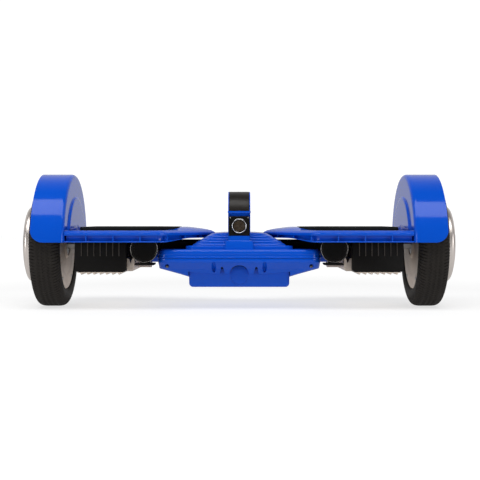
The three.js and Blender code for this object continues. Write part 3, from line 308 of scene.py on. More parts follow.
def cast_metal():
    f = Finish("cast_aluminium", (0.56, 0.52, 0.46), rough=0.5, metal=0.25)
    at = f.place()
    cloud = f.grain(at, 35, 5)
    pits = f.ramp(f.cells(at, 420), (0.05, 0.0), (0.3, 1.0))
    grit = f.bump(f.grain(at, 900, 4, 0.7), 0.35, 0.0003)
    return f.done(f.mix(cloud, (0.64, 0.54, 0.46, 1), (0.82, 0.71, 0.61, 1)),
                  f.level(cloud, 0.42, 0.62),
                  f.bump(pits, 0.12, 0.0003, grit))


def turned_metal():
    """Aluminium turned about the axle: fine rings round X."""
    f = Finish("turned_aluminium", (0.62, 0.6, 0.58), rough=0.28, metal=1.0)
    at = f.place()
    height = f.part(at, "Z") - AXLE_HEIGHT * MM
    depth = f.part(at, "Y")
    radius = (height * height + depth * depth) ** 0.5
    rings = f.grain(f.node("ShaderNodeCombineXYZ", {}, {"X": radius, "Y": f.part(at, "X")}), 2200, 2)
    stain = f.grain(at, 22, 5)
    return f.done(f.mix(stain, (0.66, 0.6, 0.56, 1), (0.82, 0.76, 0.72, 1)),
                  f.level(rings, 0.24, 0.38) + stain * 0.06,
                  f.bump(rings, 0.12, 0.00008))


def bright_metal(name, colour, low, high):
    f = Finish(name, colour, rough=low, metal=1.0)
    at = f.place()
    smear = f.grain(at, 60, 6, 0.65)
    dull = tuple(c * 0.86 for c in colour)
    return f.done(f.mix(smear, (*colour, 1), (*dull, 1)),
                  f.level(smear, low, high),
                  f.bump(f.grain(at, 1300, 2), 0.05, 0.00005))


def circuit_green():
    f = Finish("circuit_board", (0.02, 0.16, 0.05), rough=0.35)
    at = f.place()
    tracks = f.ramp(f.cells(at, 260), (0.25, 0.0), (0.3, 1.0))
    return f.done(f.mix(tracks, (0.05, 0.24, 0.09, 1), (0.015, 0.11, 0.035, 1)),
                  f.level(tracks, 0.3, 0.5),
                  f.bump(tracks, 0.2, 0.0001))


def wire_copper():
    f = Finish("winding_copper", (0.6, 0.22, 0.08), rough=0.4, metal=1.0)
    at = f.place()
    strands = (f.part(at, "X") * 9000).sine()
    return f.done(f.mix(f.grain(at, 80, 3), (0.62, 0.24, 0.09, 1), (0.38, 0.13, 0.05, 1)),
                  f.level(strands, 0.3, 0.5),
                  f.bump(strands, 0.5, 0.0002))


def pack_wrap():
    f = Finish("cell_wrap", (0.02, 0.07, 0.28), rough=0.35)
    at = f.place()
    wrinkle = f.grain(f.stretched(at, (1, 1, 6)), 60, 6, 0.7)
    return f.done(f.mix(wrinkle, (0.014, 0.05, 0.22, 1), (0.03, 0.09, 0.34, 1)),
                  f.level(wrinkle, 0.25, 0.45),
                  f.bump(wrinkle, 0.6, 0.001))


def lens_glass():
    f = Finish("lamp_lens", (0.42, 0.36, 0.26), rough=0.16, specular=0.25)
    at = f.place()
    height = f.part(at, "Z") - LAMP_HEIGHT * MM
    side = f.part(at, "X")
    ribs = (side * 3600).sine() * 0.5 + (height * 3600).sine() * 0.5
    haze = f.grain(at, 240, 4)
    return f.done(f.mix(haze, (0.022, 0.013, 0.006, 1), (0.055, 0.035, 0.017, 1)),
                  f.level(haze, 0.08, 0.26),
                  f.bump(ribs, 0.7, 0.0006))


# ------------------------------------------------------------------ sizes, in millimetres
AXLE_HEIGHT = 83.0
PIVOT_HEIGHT = 65.5              # centre tube that both platforms pitch on
TYRE_INNER_X = 229.0
TYRE_WIDTH = 39.5
COVER_BORE = 13.8
COVER_SCREWS = 5
COVER_SCREW_CIRCLE = 55.0
COVER_SLOTS = 10
SLOT_HALF_WIDTH = 0.75
SLOT_FROM, SLOT_TO = 47.6, 52.2  # radius at the ends of a slot


# ------------------------------------------------------------------ mesh helpers
def smooth(value):
    value = min(max(value, 0.0), 1.0)
    return value * value * (3 - 2 * value)


def solid(name, mesh, shape):
    """The shape written into the mesh, with its faces turned outwards, as an object."""
    bmesh.ops.recalc_face_normals(shape, faces=shape.faces)
    shape.to_mesh(mesh)
    shape.free()
    return added(name, mesh)


def sewn(name, rings, turned=False):
    """A closed mesh through rings of points in millimetres, capped at its ends or turned full circle."""
    verts = [(x * MM, y * MM, z * MM) for ring in rings for x, y, z in ring]
    count = len(rings[0])
    faces = []
    spans = len(rings) if turned else len(rings) - 1
    for i in range(spans):
        a = i * count
        b = ((i + 1) % len(rings)) * count
        for j in range(count):
            k = (j + 1) % count
            faces.append((a + j, a + k, b + k, b + j))
    if not turned:
        faces.append(tuple(reversed(range(count))))
        faces.append(tuple(range((len(rings) - 1) * count, len(rings) * count)))
    mesh = bpy.data.meshes.new(name)
    mesh.from_pydata(verts, [], faces)
    shape = bmesh.new()
    shape.from_mesh(mesh)
    return solid(name, mesh, shape)


def dressed(piece, body, slot, finish, *nodes, sharp=38):
    """Smooth shading with sharp creases kept, the finish, and its place in the model."""
    mesh = piece.data
    mesh.materials.clear()
    mesh.materials.append(finish)
    mesh.shade_smooth()
    mesh.set_sharp_from_angle(angle=math.radians(sharp))
    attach(piece, body)
    if nodes:
        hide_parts(*nodes)
    return piece


def curve_through(points, steps):
    """A smooth closed line through the points, with steps points to each span."""
    count = len(points)
    out = []
    for i in range(count):
        p = [points[(i + k) % count] for k in (-1, 0, 1, 2)]
        for step in range(steps):
            t = step / steps
            out.append(tuple(
                0.5 * (2 * b + (c - a) * t + (2 * a - 5 * b + 4 * c - d) * t * t
                       + (3 * b - a - 3 * c + d) * t ** 3)
                for a, b, c, d in zip(*p)))
    return out


def eased(corners, inset=0.0, steps=6):
    """The corners (x, y, radius) of a polygon given anticlockwise, moved inwards and rounded."""
    count = len(corners)
    lines = []
    for i, (x, y, _) in enumerate(corners):
        nx, ny, _ = corners[(i + 1) % count]
        length = math.hypot(nx - x, ny - y)
        dx, dy = (nx - x) / length, (ny - y) / length
        lines.append((x - dy * inset, y + dx * inset, dx, dy))
    outline = []
    for i in range(count):
        ax, ay, adx, ady = lines[i - 1]
        bx, by, bdx, bdy = lines[i]
        turn = adx * bdy - ady * bdx
        reach = ((bx - ax) * bdy - (by - ay) * bdx) / turn
        cx, cy = ax + adx * reach, ay + ady * reach
        radius = max(corners[i][2] - inset, 0.4)
        angle = math.atan2(turn, adx * bdx + ady * bdy)
        back = radius * math.tan(angle / 2)
        sx, sy = cx - adx * back, cy - ady * back
        ox, oy = sx - ady * radius, sy + adx * radius
        first = math.atan2(sy - oy, sx - ox)
        for k in range(steps + 1):
            at = first + angle * k / steps
            outline.append((ox + radius * math.cos(at), oy + radius * math.sin(at)))
    return outline


def filled_in(outline, parts):
    """The outline with each side cut into its number of parts."""
    out = []
    for i, (x, y) in enumerate(outline):
        nx, ny = outline[(i + 1) % len(outline)]
        for k in range(parts[i]):
            share = k / parts[i]
            out.append((x + (nx - x) * share, y + (ny - y) * share))
    return out


def divisions(outline, spacing):
    """How many parts of about the spacing fit in each side."""
    sides = zip(outline, outline[1:] + outline[:1])
    return [max(1, round(math.hypot(b[0] - a[0], b[1] - a[1]) / spacing)) for a, b in sides]


def eased_edges(piece, width, segments=3, angle=32):
    bevel = piece.modifiers.new("eased_edges", "BEVEL")
    bevel.width = width * MM
    bevel.segments = segments
    bevel.limit_method = "ANGLE"
    bevel.angle_limit = math.radians(angle)
    bevel.harden_normals = True


def kept(node, finish):
    """A CAD piece kept as it is, with its edges eased."""
    piece = NODES[node]
    piece.data.materials.clear()
    piece.data.materials.append(finish)
    piece.data.shade_smooth()
    eased_edges(piece, 0.5, 3, 30)


# ------------------------------------------------------------------ wheels
TREAD_TURNS = 120                # lugs round the tyre
TYRE_STEPS = TREAD_TURNS * 8


def tyre_profile():
    w = TYRE_WIDTH
    corners = [
        (60.4, 4), (64, 0.9), (70, 0.3), (75.5, 1.0), (79.6, 2.9), (82.0, 6.2), (82.9, 11), (82.95, 16),
        (82.95, 20), (82.95, w - 16), (82.9, w - 10.5), (82.1, w - 6), (79.8, w - 2.6), (75.5, w - 0.8),
        (70, w - 0.3), (64, w - 0.9), (60.4, w - 4), (60.4, w - 12), (60.4, w / 2), (60.4, 12),
    ]
    return curve_through(corners, 4)


def groove(distance, width):
    """1 in the middle of a groove, 0 beyond its edges."""
    return 1 - smooth(abs(distance) / width)


def tread_depth(turn, radius, across):
    """How far the tyre surface drops below its profile."""
    side = abs(across - TYRE_WIDTH / 2) / (TYRE_WIDTH / 2)
    if radius < 66:
        return 0.0
    phase = turn * TREAD_TURNS
    wave = math.sin(2 * math.pi * phase)
    depth = 0.0
    for middle, swing in ((0.0, 1.5), (6.2, -1.5), (-6.2, 1.5)):
        depth = max(depth, 1.1 * groove(across - TYRE_WIDTH / 2 - middle - swing * wave, 0.95))
    shoulder = smooth((side - 0.5) / 0.12) * smooth((radius - 71) / 3)
    slant = phase + (0.5 if across > TYRE_WIDTH / 2 else 0.0) + 1.1 * side
    notch = groove((slant % 1.0) - 0.5, 0.19)
    depth = max(depth, 1.7 * shoulder * notch)
    sidewall = groove(radius - 72.0, 0.7) * 0.35 + groove(radius - 68.0, 0.6) * 0.3
    return depth + sidewall


def make_tyre(side, sign, finish):
    profile = tyre_profile()
    normals = []
    for i, (r, x) in enumerate(profile):
        (r0, x0), (r1, x1) = profile[i - 1], profile[(i + 1) % len(profile)]
        length = math.hypot(r1 - r0, x1 - x0)
        normals.append(((x1 - x0) / length, -(r1 - r0) / length))
    rings = []
    for k in range(TYRE_STEPS):
        turn = k / TYRE_STEPS
        c, s = math.cos(2 * math.pi * turn), math.sin(2 * math.pi * turn)
        ring = []
        for (r, x), (nr, nx) in zip(profile, normals):
            depth = tread_depth(turn, r, x)
            rr = r - abs(nr) * depth
            xx = TYRE_INNER_X + x - nx * depth
            ring.append((sign * xx, rr * c, AXLE_HEIGHT + rr * s))
        rings.append(ring)
    piece = sewn("tread_tyre_" + side, rings, turned=True)
    return dressed(piece, "wheel_" + side, "tyre", finish, "tyre_" + side, sharp=60)


def circle(steps):
    """Cosine and sine of each step of a full turn."""
    return [(math.cos(2 * math.pi * k / steps), math.sin(2 * math.pi * k / steps)) for k in range(steps)]


def bead(radius, place, wide, deep, steps):
    """A round section, for a ring of the radius at the place along its axis."""
    return [(radius + wide * c, place + deep * s) for c, s in circle(steps)]


def lathed(name, profile, sign, steps=144):
    """A closed (radius, x) profile turned about the axle."""
    rings = [[(sign * (TYRE_INNER_X + x), r * c, AXLE_HEIGHT + r * s) for r, x in profile]
             for c, s in circle(steps)]
    return sewn(name, rings, turned=True)


def softened(profile, radius, steps=4):
    """The closed profile with each corner rounded by at most the radius."""
    out = []
    count = len(profile)
    for i in range(count):
        p, q, n = profile[i - 1], profile[i], profile[(i + 1) % count]
        a = math.hypot(p[0] - q[0], p[1] - q[1])
        b = math.hypot(n[0] - q[0], n[1] - q[1])
        reach = min(radius, a * 0.45, b * 0.45)
        start = (q[0] + (p[0] - q[0]) / a * reach, q[1] + (p[1] - q[1]) / a * reach)
        end = (q[0] + (n[0] - q[0]) / b * reach, q[1] + (n[1] - q[1]) / b * reach)
        for k in range(steps + 1):
            t = k / steps
            out.append(tuple((1 - t) ** 2 * u + 2 * t * (1 - t) * v + t * t * w
                             for u, v, w in zip(start, q, end)))
    return out


def make_rotor(side, sign, finish):
    """Hub shell with its domed cap, turned in one piece."""
    w = TYRE_WIDTH
    profile = [
        (54.2, 6.3), (60.0, 6.3), (60.0, w - 1.0), (55.5, w + 0.8), (51.2, w + 2.2), (51.0, w + 9.4),
        (48.0, w + 12.6), (38.0, w + 13.4), (36.6, w + 12.6), (14.0, w + 12.6), (12.6, w + 13.3),
        (0.05, w + 13.4), (0.05, w + 9.5), (47.0, w + 8.0), (47.0, w - 3.0), (54.2, w - 5.0),
    ]
    cap = lathed("hub_shell_" + side, softened(profile, 2.4, 6), sign, 192)
    return dressed(cap, "wheel_" + side, "turned_aluminium", finish, "rotor_" + side, sharp=60)


def make_inner_cover(side, sign, finish, screw_finish):
    """Dished cover on the inner side of the wheel, with short slots and its screws."""
    inner = COVER_BORE
    profile = [
        (inner, 1.1), (inner + 3.2, 1.1), (inner + 5.4, 3.4), (40.0, 3.9), (44.0, 3.2), (59.0, 3.05),
        (60.0, 4.0), (60.0, 6.0), (inner, 6.0),
    ]
    disc = lathed("slotted_cover_" + side, softened(profile, 0.8, 3), sign, 144)
    slots = []
    for k in range(COVER_SLOTS):
        a = 2 * math.pi * (k + 0.5) / COVER_SLOTS
        along, beside = (math.cos(a), math.sin(a)), (-math.sin(a), math.cos(a))
        half_turn = [(SLOT_HALF_WIDTH * math.sin(t), SLOT_HALF_WIDTH * math.cos(t))
                     for t in [math.pi * j / 8 for j in range(9)]]
        outline = [(SLOT_FROM + SLOT_HALF_WIDTH - out, b) for out, b in half_turn]
        outline += [(SLOT_TO + out, -b) for out, b in half_turn]
        rings = []
        for x in (1.5, 4.8):
            rings.append([(sign * (TYRE_INNER_X + x), r * along[0] + b * beside[0],
                           AXLE_HEIGHT + r * along[1] + b * beside[1]) for r, b in outline])
        slots.append(sewn("slot_cut", rings))
    carve(disc, *slots)
    dressed(disc, "wheel_" + side, "cast_aluminium", finish, "wheel_inner_cover_" + side, sharp=35)
    for k in range(COVER_SCREWS):
        a = 2 * math.pi * (k + 0.25) / COVER_SCREWS
        place = (sign * (TYRE_INNER_X + 3.1), COVER_SCREW_CIRCLE * math.cos(a),
                 AXLE_HEIGHT + COVER_SCREW_CIRCLE * math.sin(a))
        add_screw("cover_screw", place, (-sign, 0, 0), 2.3, "wheel_" + side, screw_finish, "steel")


def make_bulkhead(side, sign, finish):
    """Black end wall that closes the platform beside the centre body."""
    wall = plain_box("end_wall_" + side, sign * 106.3, 0, 84.9, 2.0, 124.0, 23.0)
    eased_edges(wall, 0.4, 3)
    return dressed(wall, "platform_" + side, "black_plastic", finish)


# ------------------------------------------------------------------ fenders
FENDER_INNER_X = 220.0
FENDER_OUTER_X = 262.6
FENDER_RADIUS = 93.5
FENDER_WALL = 3.0
FENDER_FILLET = 5.0
FENDER_BOTTOM = 87.0
FENDER_CORNER = 16.0
FENDER_STEPS = 150
AXLE_NOTCH = 12.4
BOSS_RADIUS = 63.0
BOSS_PROUD = 2.0
DECK_TOP = 102.0


def fender_profile():
    """Outer and inner lines from the axle notch to the lip, as (radius, x)."""
    outer = [(AXLE_NOTCH + 50.2 * (k / 14), FENDER_INNER_X) for k in range(14)]
    outer += [(62.6 + 0.4 * k, FENDER_INNER_X) for k in range(8)]
    outer += [(66.0 + 22.0 * k / 8, FENDER_INNER_X) for k in range(8)]
    for k in range(9):
        a = math.pi / 2 * k / 8
        outer.append((FENDER_RADIUS - FENDER_FILLET + FENDER_FILLET * math.sin(a),
                      FENDER_INNER_X + FENDER_FILLET - FENDER_FILLET * math.cos(a)))
    outer += [(FENDER_RADIUS, FENDER_INNER_X + 7 + 2.2 * k) for k in range(17)]
    lip = []
    for k in range(9):
        a = math.pi * k / 8
        lip.append((FENDER_RADIUS - 1.5 + 1.5 * math.cos(a), FENDER_OUTER_X - 1.5 + 1.5 * math.sin(a)))
    inside_fillet = FENDER_FILLET - FENDER_WALL + 1.5
    corner_x = FENDER_INNER_X + FENDER_WALL + inside_fillet
    inner = [(FENDER_RADIUS - FENDER_WALL, FENDER_OUTER_X - 2 - 3 * k) for k in range(12)]
    for k in range(7):
        a = math.pi / 2 * k / 6
        inner.append((FENDER_RADIUS - FENDER_WALL - inside_fillet * (1 - math.cos(a)),
                      corner_x - inside_fillet * math.sin(a)))
    last = FENDER_RADIUS - FENDER_WALL - inside_fillet
    inner += [(last + (AXLE_NOTCH - last) * (k / 10), FENDER_INNER_X + FENDER_WALL) for k in range(1, 11)]
    return outer + lip + inner


def fender_floor(x):
    """Height of the lower edge: level, then climbing round the outer corner."""
    over = x - (FENDER_OUTER_X - FENDER_CORNER)
    if over <= 0:
        return FENDER_BOTTOM
    over = min(over, FENDER_CORNER)
    return FENDER_BOTTOM + FENDER_CORNER - math.sqrt(FENDER_CORNER ** 2 - over ** 2)


def make_fender(side, sign, finish):
    profile = fender_profile()
    rings = []
    for i in range(FENDER_STEPS + 1):
        share = i / FENDER_STEPS
        ring = []
        for r, x in profile:
            low = math.asin(min((fender_floor(x) - AXLE_HEIGHT) / r, 1))
            a = low + (math.pi - 2 * low) * share
            z = AXLE_HEIGHT + r * math.sin(a)
            boss = 0.0
            if x < FENDER_INNER_X + 0.5:
                boss = BOSS_PROUD * smooth((BOSS_RADIUS + 1.2 - r) / 1.6)
                boss *= smooth((z - DECK_TOP - 0.3) / 0.8)
            ring.append((sign * (x - boss), -r * math.cos(a), z))
        rings.append(ring)
    piece = sewn("arched_fender_" + side, rings)
    return dressed(piece, "platform_" + side, "blue_gloss", finish, "fender_" + side, sharp=50)


# ------------------------------------------------------------------ platform decks
DECK_OUTER_X = 219.7
DECK_HALF_DEPTH = 91.0
DECK_BOTTOM = 87.0
DECK_UNDERSIDE = 96.7
LIP_BOTTOM = 95.5
TONGUE_START_X = 96.0
TONGUE_LEVEL_X = 63.0
TONGUE_RISE = 4.8
HUMP_HEIGHT = 5.5
POCKET_FLOOR = 99.7
PLATFORM = [
    (DECK_OUTER_X, -DECK_HALF_DEPTH, 1.0), (DECK_OUTER_X, DECK_HALF_DEPTH, 1.0),
    (TONGUE_START_X, DECK_HALF_DEPTH, 20.0), (29.5, 0.0, 12.0), (TONGUE_START_X, -DECK_HALF_DEPTH, 20.0),
]
MAT = [
    (204.0, -72.0, 8.0), (204.0, 72.0, 8.0), (112.0, 72.0, 8.0),
    (79.0, 38.0, 8.0), (79.0, -38.0, 8.0), (112.0, -72.0, 8.0),
]
MAT_TOP = 106.5
# from the cavity under the plate, round the flange, the channel and the lip, to the top: (inset, height)
DECK_SECTION = [
    (8.8, DECK_UNDERSIDE), (8.8, 87.5), (8.4, DECK_BOTTOM), (0.6, DECK_BOTTOM), (0.2, 87.15), (0.0, 87.5),
    (0.0, 88.2), (0.2, 88.55), (0.6, 88.7), (5.9, 88.7), (6.4, 88.9), (6.6, 89.4), (6.6, 94.9), (6.4, 95.3),
    (5.9, LIP_BOTTOM), (0.7, LIP_BOTTOM), (0.2, 95.7), (0.0, 96.2), (0.0, 98.2), (0.12, 98.7),
    (0.45, 99.15), (1.0, 99.5), (4.7, 101.35), (5.6, 101.75), (6.5, 101.95), (7.4, DECK_TOP),
]


def even_outline(corners, inset, spacing=2.5, steps=10):
    base = eased([(min(x, DECK_OUTER_X), y, r) for x, y, r in corners], 0, steps)
    return filled_in(eased(corners, inset, steps), divisions(base, spacing))


def on_outline(outline, centre, point):
    """Where the ray from the centre through the point crosses the outline."""
    dx, dy = point[0] - centre[0], point[1] - centre[1]
    best = None
    for i, (ax, ay) in enumerate(outline):
        bx, by = outline[(i + 1) % len(outline)]
        ex, ey = bx - ax, by - ay
        cross = dx * ey - dy * ex
        if abs(cross) < 1e-12:
            continue
        along = ((ax - centre[0]) * ey - (ay - centre[1]) * ex) / cross
        share = ((ax - centre[0]) * dy - (ay - centre[1]) * dx) / cross
        if along > 0 and -1e-9 <= share <= 1 + 1e-9 and (best is None or along > best):
            best = along
    return centre[0] + dx * best, centre[1] + dy * best


def hump(x, y):
    return HUMP_HEIGHT * (1 - smooth((x - 64) / 46)) * (1 - smooth((abs(y) - 18) / 54))


def climbed(x, z):
    share = smooth((TONGUE_START_X - x) / (TONGUE_START_X - TONGUE_LEVEL_X)) if z < LIP_BOTTOM else 0
    return z + TONGUE_RISE * share * (LIP_BOTTOM - z) / (LIP_BOTTOM - DECK_BOTTOM)


def make_deck(side, sign, finish):
    rings = []
    for inset, z in DECK_SECTION:
        outer_x = DECK_OUTER_X + min(inset, 5.0)
        sides = [(outer_x if x == DECK_OUTER_X else x, y, r) for x, y, r in PLATFORM]
        outline = even_outline(sides, inset)
        rings.append([(x, y, climbed(x, z)) for x, y in outline])
    edge = [(x, y) for x, y, _ in rings[-1]]
    pocket = eased(MAT, -0.6, 10)
    centre = (140.0, 0.0)
    goal = [on_outline(pocket, centre, p) for p in edge]
    steps = 12
    for k in range(1, steps + 1):
        t = k / steps
        ring = []
        for (x, y), (gx, gy) in zip(edge, goal):
            px, py = x + (gx - x) * t, y + (gy - y) * t
            ring.append((px, py, DECK_TOP + hump(px, py) * t ** 0.75))
        rings.append(ring)
    crest = rings[-1]
    for pull, drop in ((0.001, 0.35), (0.003, None)):
        ring = []
        for x, y, z in crest:
            px, py = x + (centre[0] - x) * pull, y + (centre[1] - y) * pull
            ring.append((px, py, POCKET_FLOOR if drop is None else z - drop))
        rings.append(ring)
    rings = [[(sign * x, y, z) for x, y, z in ring] for ring in rings]
    piece = sewn("platform_deck_" + side, rings)
    notch = plain_box("axle_notch", sign * 214.5, 0, 83.0, 24.0, 37.0, 27.0)
    carve(piece, notch)
    return dressed(piece, "platform_" + side, "blue_gloss", finish, "deck_" + side)


def plain_box(name, x, y, z, length, depth, height):
    """A box that only serves to cut another piece."""
    half = (length / 2, depth / 2, height / 2)
    ring = [(-1, -1), (1, -1), (1, 1), (-1, 1)]
    rings = [[(x + a * half[0], y + b * half[1], z + c * half[2]) for a, b in ring] for c in (-1, 1)]
    return sewn(name, rings)


def combined(piece, operation, others):
    """The others are cut out of the piece or fused into it, and are gone afterwards."""
    for other in others:
        step = piece.modifiers.new("step", "BOOLEAN")
        step.operation = operation
        step.solver = "EXACT"
        step.object = other
    view = bpy.context.evaluated_depsgraph_get()
    mesh = bpy.data.meshes.new_from_object(piece.evaluated_get(view))
    piece.modifiers.clear()
    piece.data = mesh
    for other in others:
        bpy.data.objects.remove(other)


def carve(piece, *cutters):
    combined(piece, "DIFFERENCE", cutters)


def joined(piece, *others):
    combined(piece, "UNION", others)


def make_ribs(side, sign, finish):
    """Thin upright ribs in the channel under the lip."""
    slope = math.atan2(DECK_HALF_DEPTH, TONGUE_START_X - 29.5)
    places = []
    for x in (192.5, 158.5, 124.5):
        for front in (-1, 1):
            places.append((x, front * (DECK_HALF_DEPTH - 3.7), 0.0 if front < 0 else math.pi, 88.6, 95.6))
    for share in (0.09, 0.4, 0.7):
        for front in (-1, 1):
            x = TONGUE_START_X + (29.5 - TONGUE_START_X) * share
            y = DECK_HALF_DEPTH * (1 - share)
            inward = 3.7
            px, py = x + inward * math.sin(slope), y - inward * math.cos(slope)
            low = climbed(x, 88.7) - 0.1
            places.append((px, front * py, (-slope if front < 0 else slope + math.pi), low, 95.6))
    whole = bmesh.new()
    for x, y, turn, low, high in places:
        made = bmesh.ops.create_cube(whole, size=1)
        for v in made["verts"]:
            px, py, pz = v.co.x * 1.6, v.co.y * 6.0, v.co.z * (high - low)
            rx = px * math.cos(turn) - py * math.sin(turn)
            ry = px * math.sin(turn) + py * math.cos(turn)
            v.co = (sign * (x + rx) * MM, (y + ry) * MM, ((low + high) / 2 + pz) * MM)
    name = "deck_ribs_" + side
    piece = solid(name, bpy.data.meshes.new(name), whole)
    bevel = piece.modifiers.new("eased_edges", "BEVEL")
    bevel.width = 0.3 * MM
    bevel.segments = 2
    return dressed(piece, "platform_" + side, "blue_gloss", finish)


def make_mat(side, sign, finish):
    section = [(1.2, 102.05), (0.3, 102.2), (0.0, 102.7), (0.0, 105.0), (0.2, 105.8), (0.7, 106.3),
               (1.4, MAT_TOP)]
    inset = 4.5
    while inset < 44:
        section += [(inset, MAT_TOP), (inset + 0.5, 106.3), (inset + 0.8, 105.6), (inset + 1.9, 105.6),
                    (inset + 2.2, 106.3), (inset + 2.7, MAT_TOP)]
        inset += 5.4
    rings = []
    for d, z in section:
        rings.append([(sign * x, y, z) for x, y in even_outline(MAT, d, 3.0, 8)])
    piece = sewn("grooved_mat_" + side, rings)
    return dressed(piece, "mat_" + side, "mat_rubber", finish, "foot_mat_" + side)


# ------------------------------------------------------------------ centre body
BODY_HALF_LENGTH = 104.5
BODY_HALF_DEPTH = 70.0
BODY_CORNER = 13.0
WALL = 3.0
TUBE_ROOM = 7.3                  # radius round the centre tube
WELL_X = 32.6                    # oval wells in the faces of the lower shell
WELL_HEIGHT = 54.9
WELL_REACH = 7.4
WELL_HALF_WIDTH = 2.9
WELL_DEPTH = 4.6
KEY_X = 22.0
SHELL_SCREW_X = 92.5
SHELL_SCREW_HEIGHT = 56.0
FITTING_X = 45.0                 # charge socket and power button
FITTING_HEIGHT = 55.95
ARCH_HEIGHT = 44.5
ARCH_RADIUS = 12.7
TAB_RADIUS = 11.5
CASE_HALF_LENGTH = 65.0
CASE_HALF_DEPTH = 52.0
CASE_BOTTOM = 28.2
CASE_CORNER = 5.0
BEAM_HALF_DEPTH = 19.0
THROUGH = 80.0                   # reach of a cut that goes right through the body
# the upper skin from the inside of the seam, round it and up to the shoulder: (inset, height)
FLANK_SECTION = [
    (3.0, 74.6), (3.0, 66.5), (2.8, 66.3), (0.1, 66.3), (-0.35, 66.45), (-0.6, 66.8), (-0.65, 67.9),
    (-0.45, 68.3), (0.0, 68.6), (0.05, 70.9), (-0.2, 71.2), (-0.25, 72.0), (0.1, 72.4), (0.35, 74.6),
    (1.0, 76.2), (2.2, 77.2), (3.6, 77.65), (5.0, 77.75),
]
# ridge under the handle's feet: (height, half width, half depth)
SPINE = [
    (76.0, 19.8, 66.0), (77.4, 19.2, 65.6), (82.0, 18.6, 64.9), (88.0, 17.9, 63.6),
    (88.6, 17.3, 63.2), (89.0, 14.0, 62.9), (94.5, 13.8, 62.6), (95.0, 13.3, 61.9),
]
# lower shell from the seam to its floor: (height, half length, half depth, corner)
LOWER_SHELL = [
    (66.1, 104.2, 69.7, 12.8), (65.95, 104.4, 69.9, 12.9), (65.6, 104.5, 70.0, 13.0),
    (61.6, 104.5, 70.0, 13.0), (60.9, 104.4, 69.7, 13.0), (60.0, 104.35, 68.9, 13.0),
    (53.4, 103.8, 60.9, 12.0), (52.6, 103.4, 60.0, 12.0), (52.0, 102.2, 59.3, 12.0),
    (45.0, 76.8, 55.4, 9.0), (44.0, 73.5, 54.6, 8.0), (42.0, 67.0, 52.6, 6.0),
    (41.5, 65.6, 52.1, 6.0), (41.4, 64.6, 51.4, 5.6),
]
# half depth of its faces by height
FACET = [(45.0, 55.4), (52.0, 59.3), (53.4, 60.9), (60.0, 68.9), (60.9, 69.7), (62.0, 70.0), (70.0, 70.0)]


def oblong(half_length, half_depth, corner):
    return [(half_length, -half_depth, corner), (half_length, half_depth, corner),
               (-half_length, half_depth, corner), (-half_length, -half_depth, corner)]


def oblong_ring(half_length, half_depth, corner, z, base, steps=8):
    outline = filled_in(eased(oblong(half_length, half_depth, corner), 0, steps), base)
    return [(x, y, z) for x, y in outline]


def hood_rings():
    """The dome as a stair of thin louvres between the shoulder and the crown."""
    base = divisions(eased(oblong(70, 61, 14), 0, 8), 4.0)
    key = [(77.0, 70.0, 61.0, 14.0), (82.3, 69.0, 60.0, 14.0), (82.6, 62.0, 58.0, 14.0),
           (97.8, 36.0, 47.0, 12.0), (99.0, 25.0, 44.6, 10.0), (99.2, 20.0, 43.0, 10.0)]

    def at(z):
        for (z0, *a), (z1, *b) in zip(key, key[1:]):
            if z <= z1:
                t = max(0.0, (z - z0) / (z1 - z0))
                return [u + (v - u) * t for u, v in zip(a, b)]
        return list(key[-1][1:])

    sizes = [(75.0, 70.0, 61.0, 14.0), (81.4, 69.4, 60.4, 14.0), (82.0, 69.0, 60.0, 13.6),
             (82.25, 68.2, 59.4, 13.2)]
    levels = [82.6, 86.1, 89.5, 92.8, 95.9]
    for low, high in zip(levels, levels[1:]):
        foot, top = at(low), at(high)
        for rise, share, proud in ((0.0, 0.0, 0.0), (0.35, 0.1, 0.7), (0.9, 0.2, 0.85), (2.2, 0.6, 0.75),
                                   (2.6, 0.8, 0.3)):
            length, depth, corner = [u + (v - u) * share for u, v in zip(foot, top)]
            sizes.append((low + rise, length, depth + proud, corner))
    for z in (95.9, 97.2, 97.8, 98.4, 98.9, 99.15):
        sizes.append((z, *at(z)))
    sizes.append((99.2, 19.0, 42.0, 9.0))
    return [oblong_ring(a, b, c, z, base) for z, a, b, c in sizes]


def tongue_room(side_sign):
    """A block that clears the tip of a platform as it pitches."""
    outline = eased(PLATFORM, -5.0, 8)
    rings = [[(side_sign * x, y, z) for x, y in outline] for z in (81.9, 130.0)]
    return sewn("tongue_room", rings)


def rod_along_y(name, radius, y0, y1, x, z, steps=48):
    return sewn(name, [[(x + radius * c, y, z + radius * s) for c, s in circle(steps)] for y in (y0, y1)])


def rod_along_x(name, radius, x0, x1, y, z, steps=48):
    return sewn(name, [[(x, y + radius * c, z + radius * s) for c, s in circle(steps)] for x in (x0, x1)])


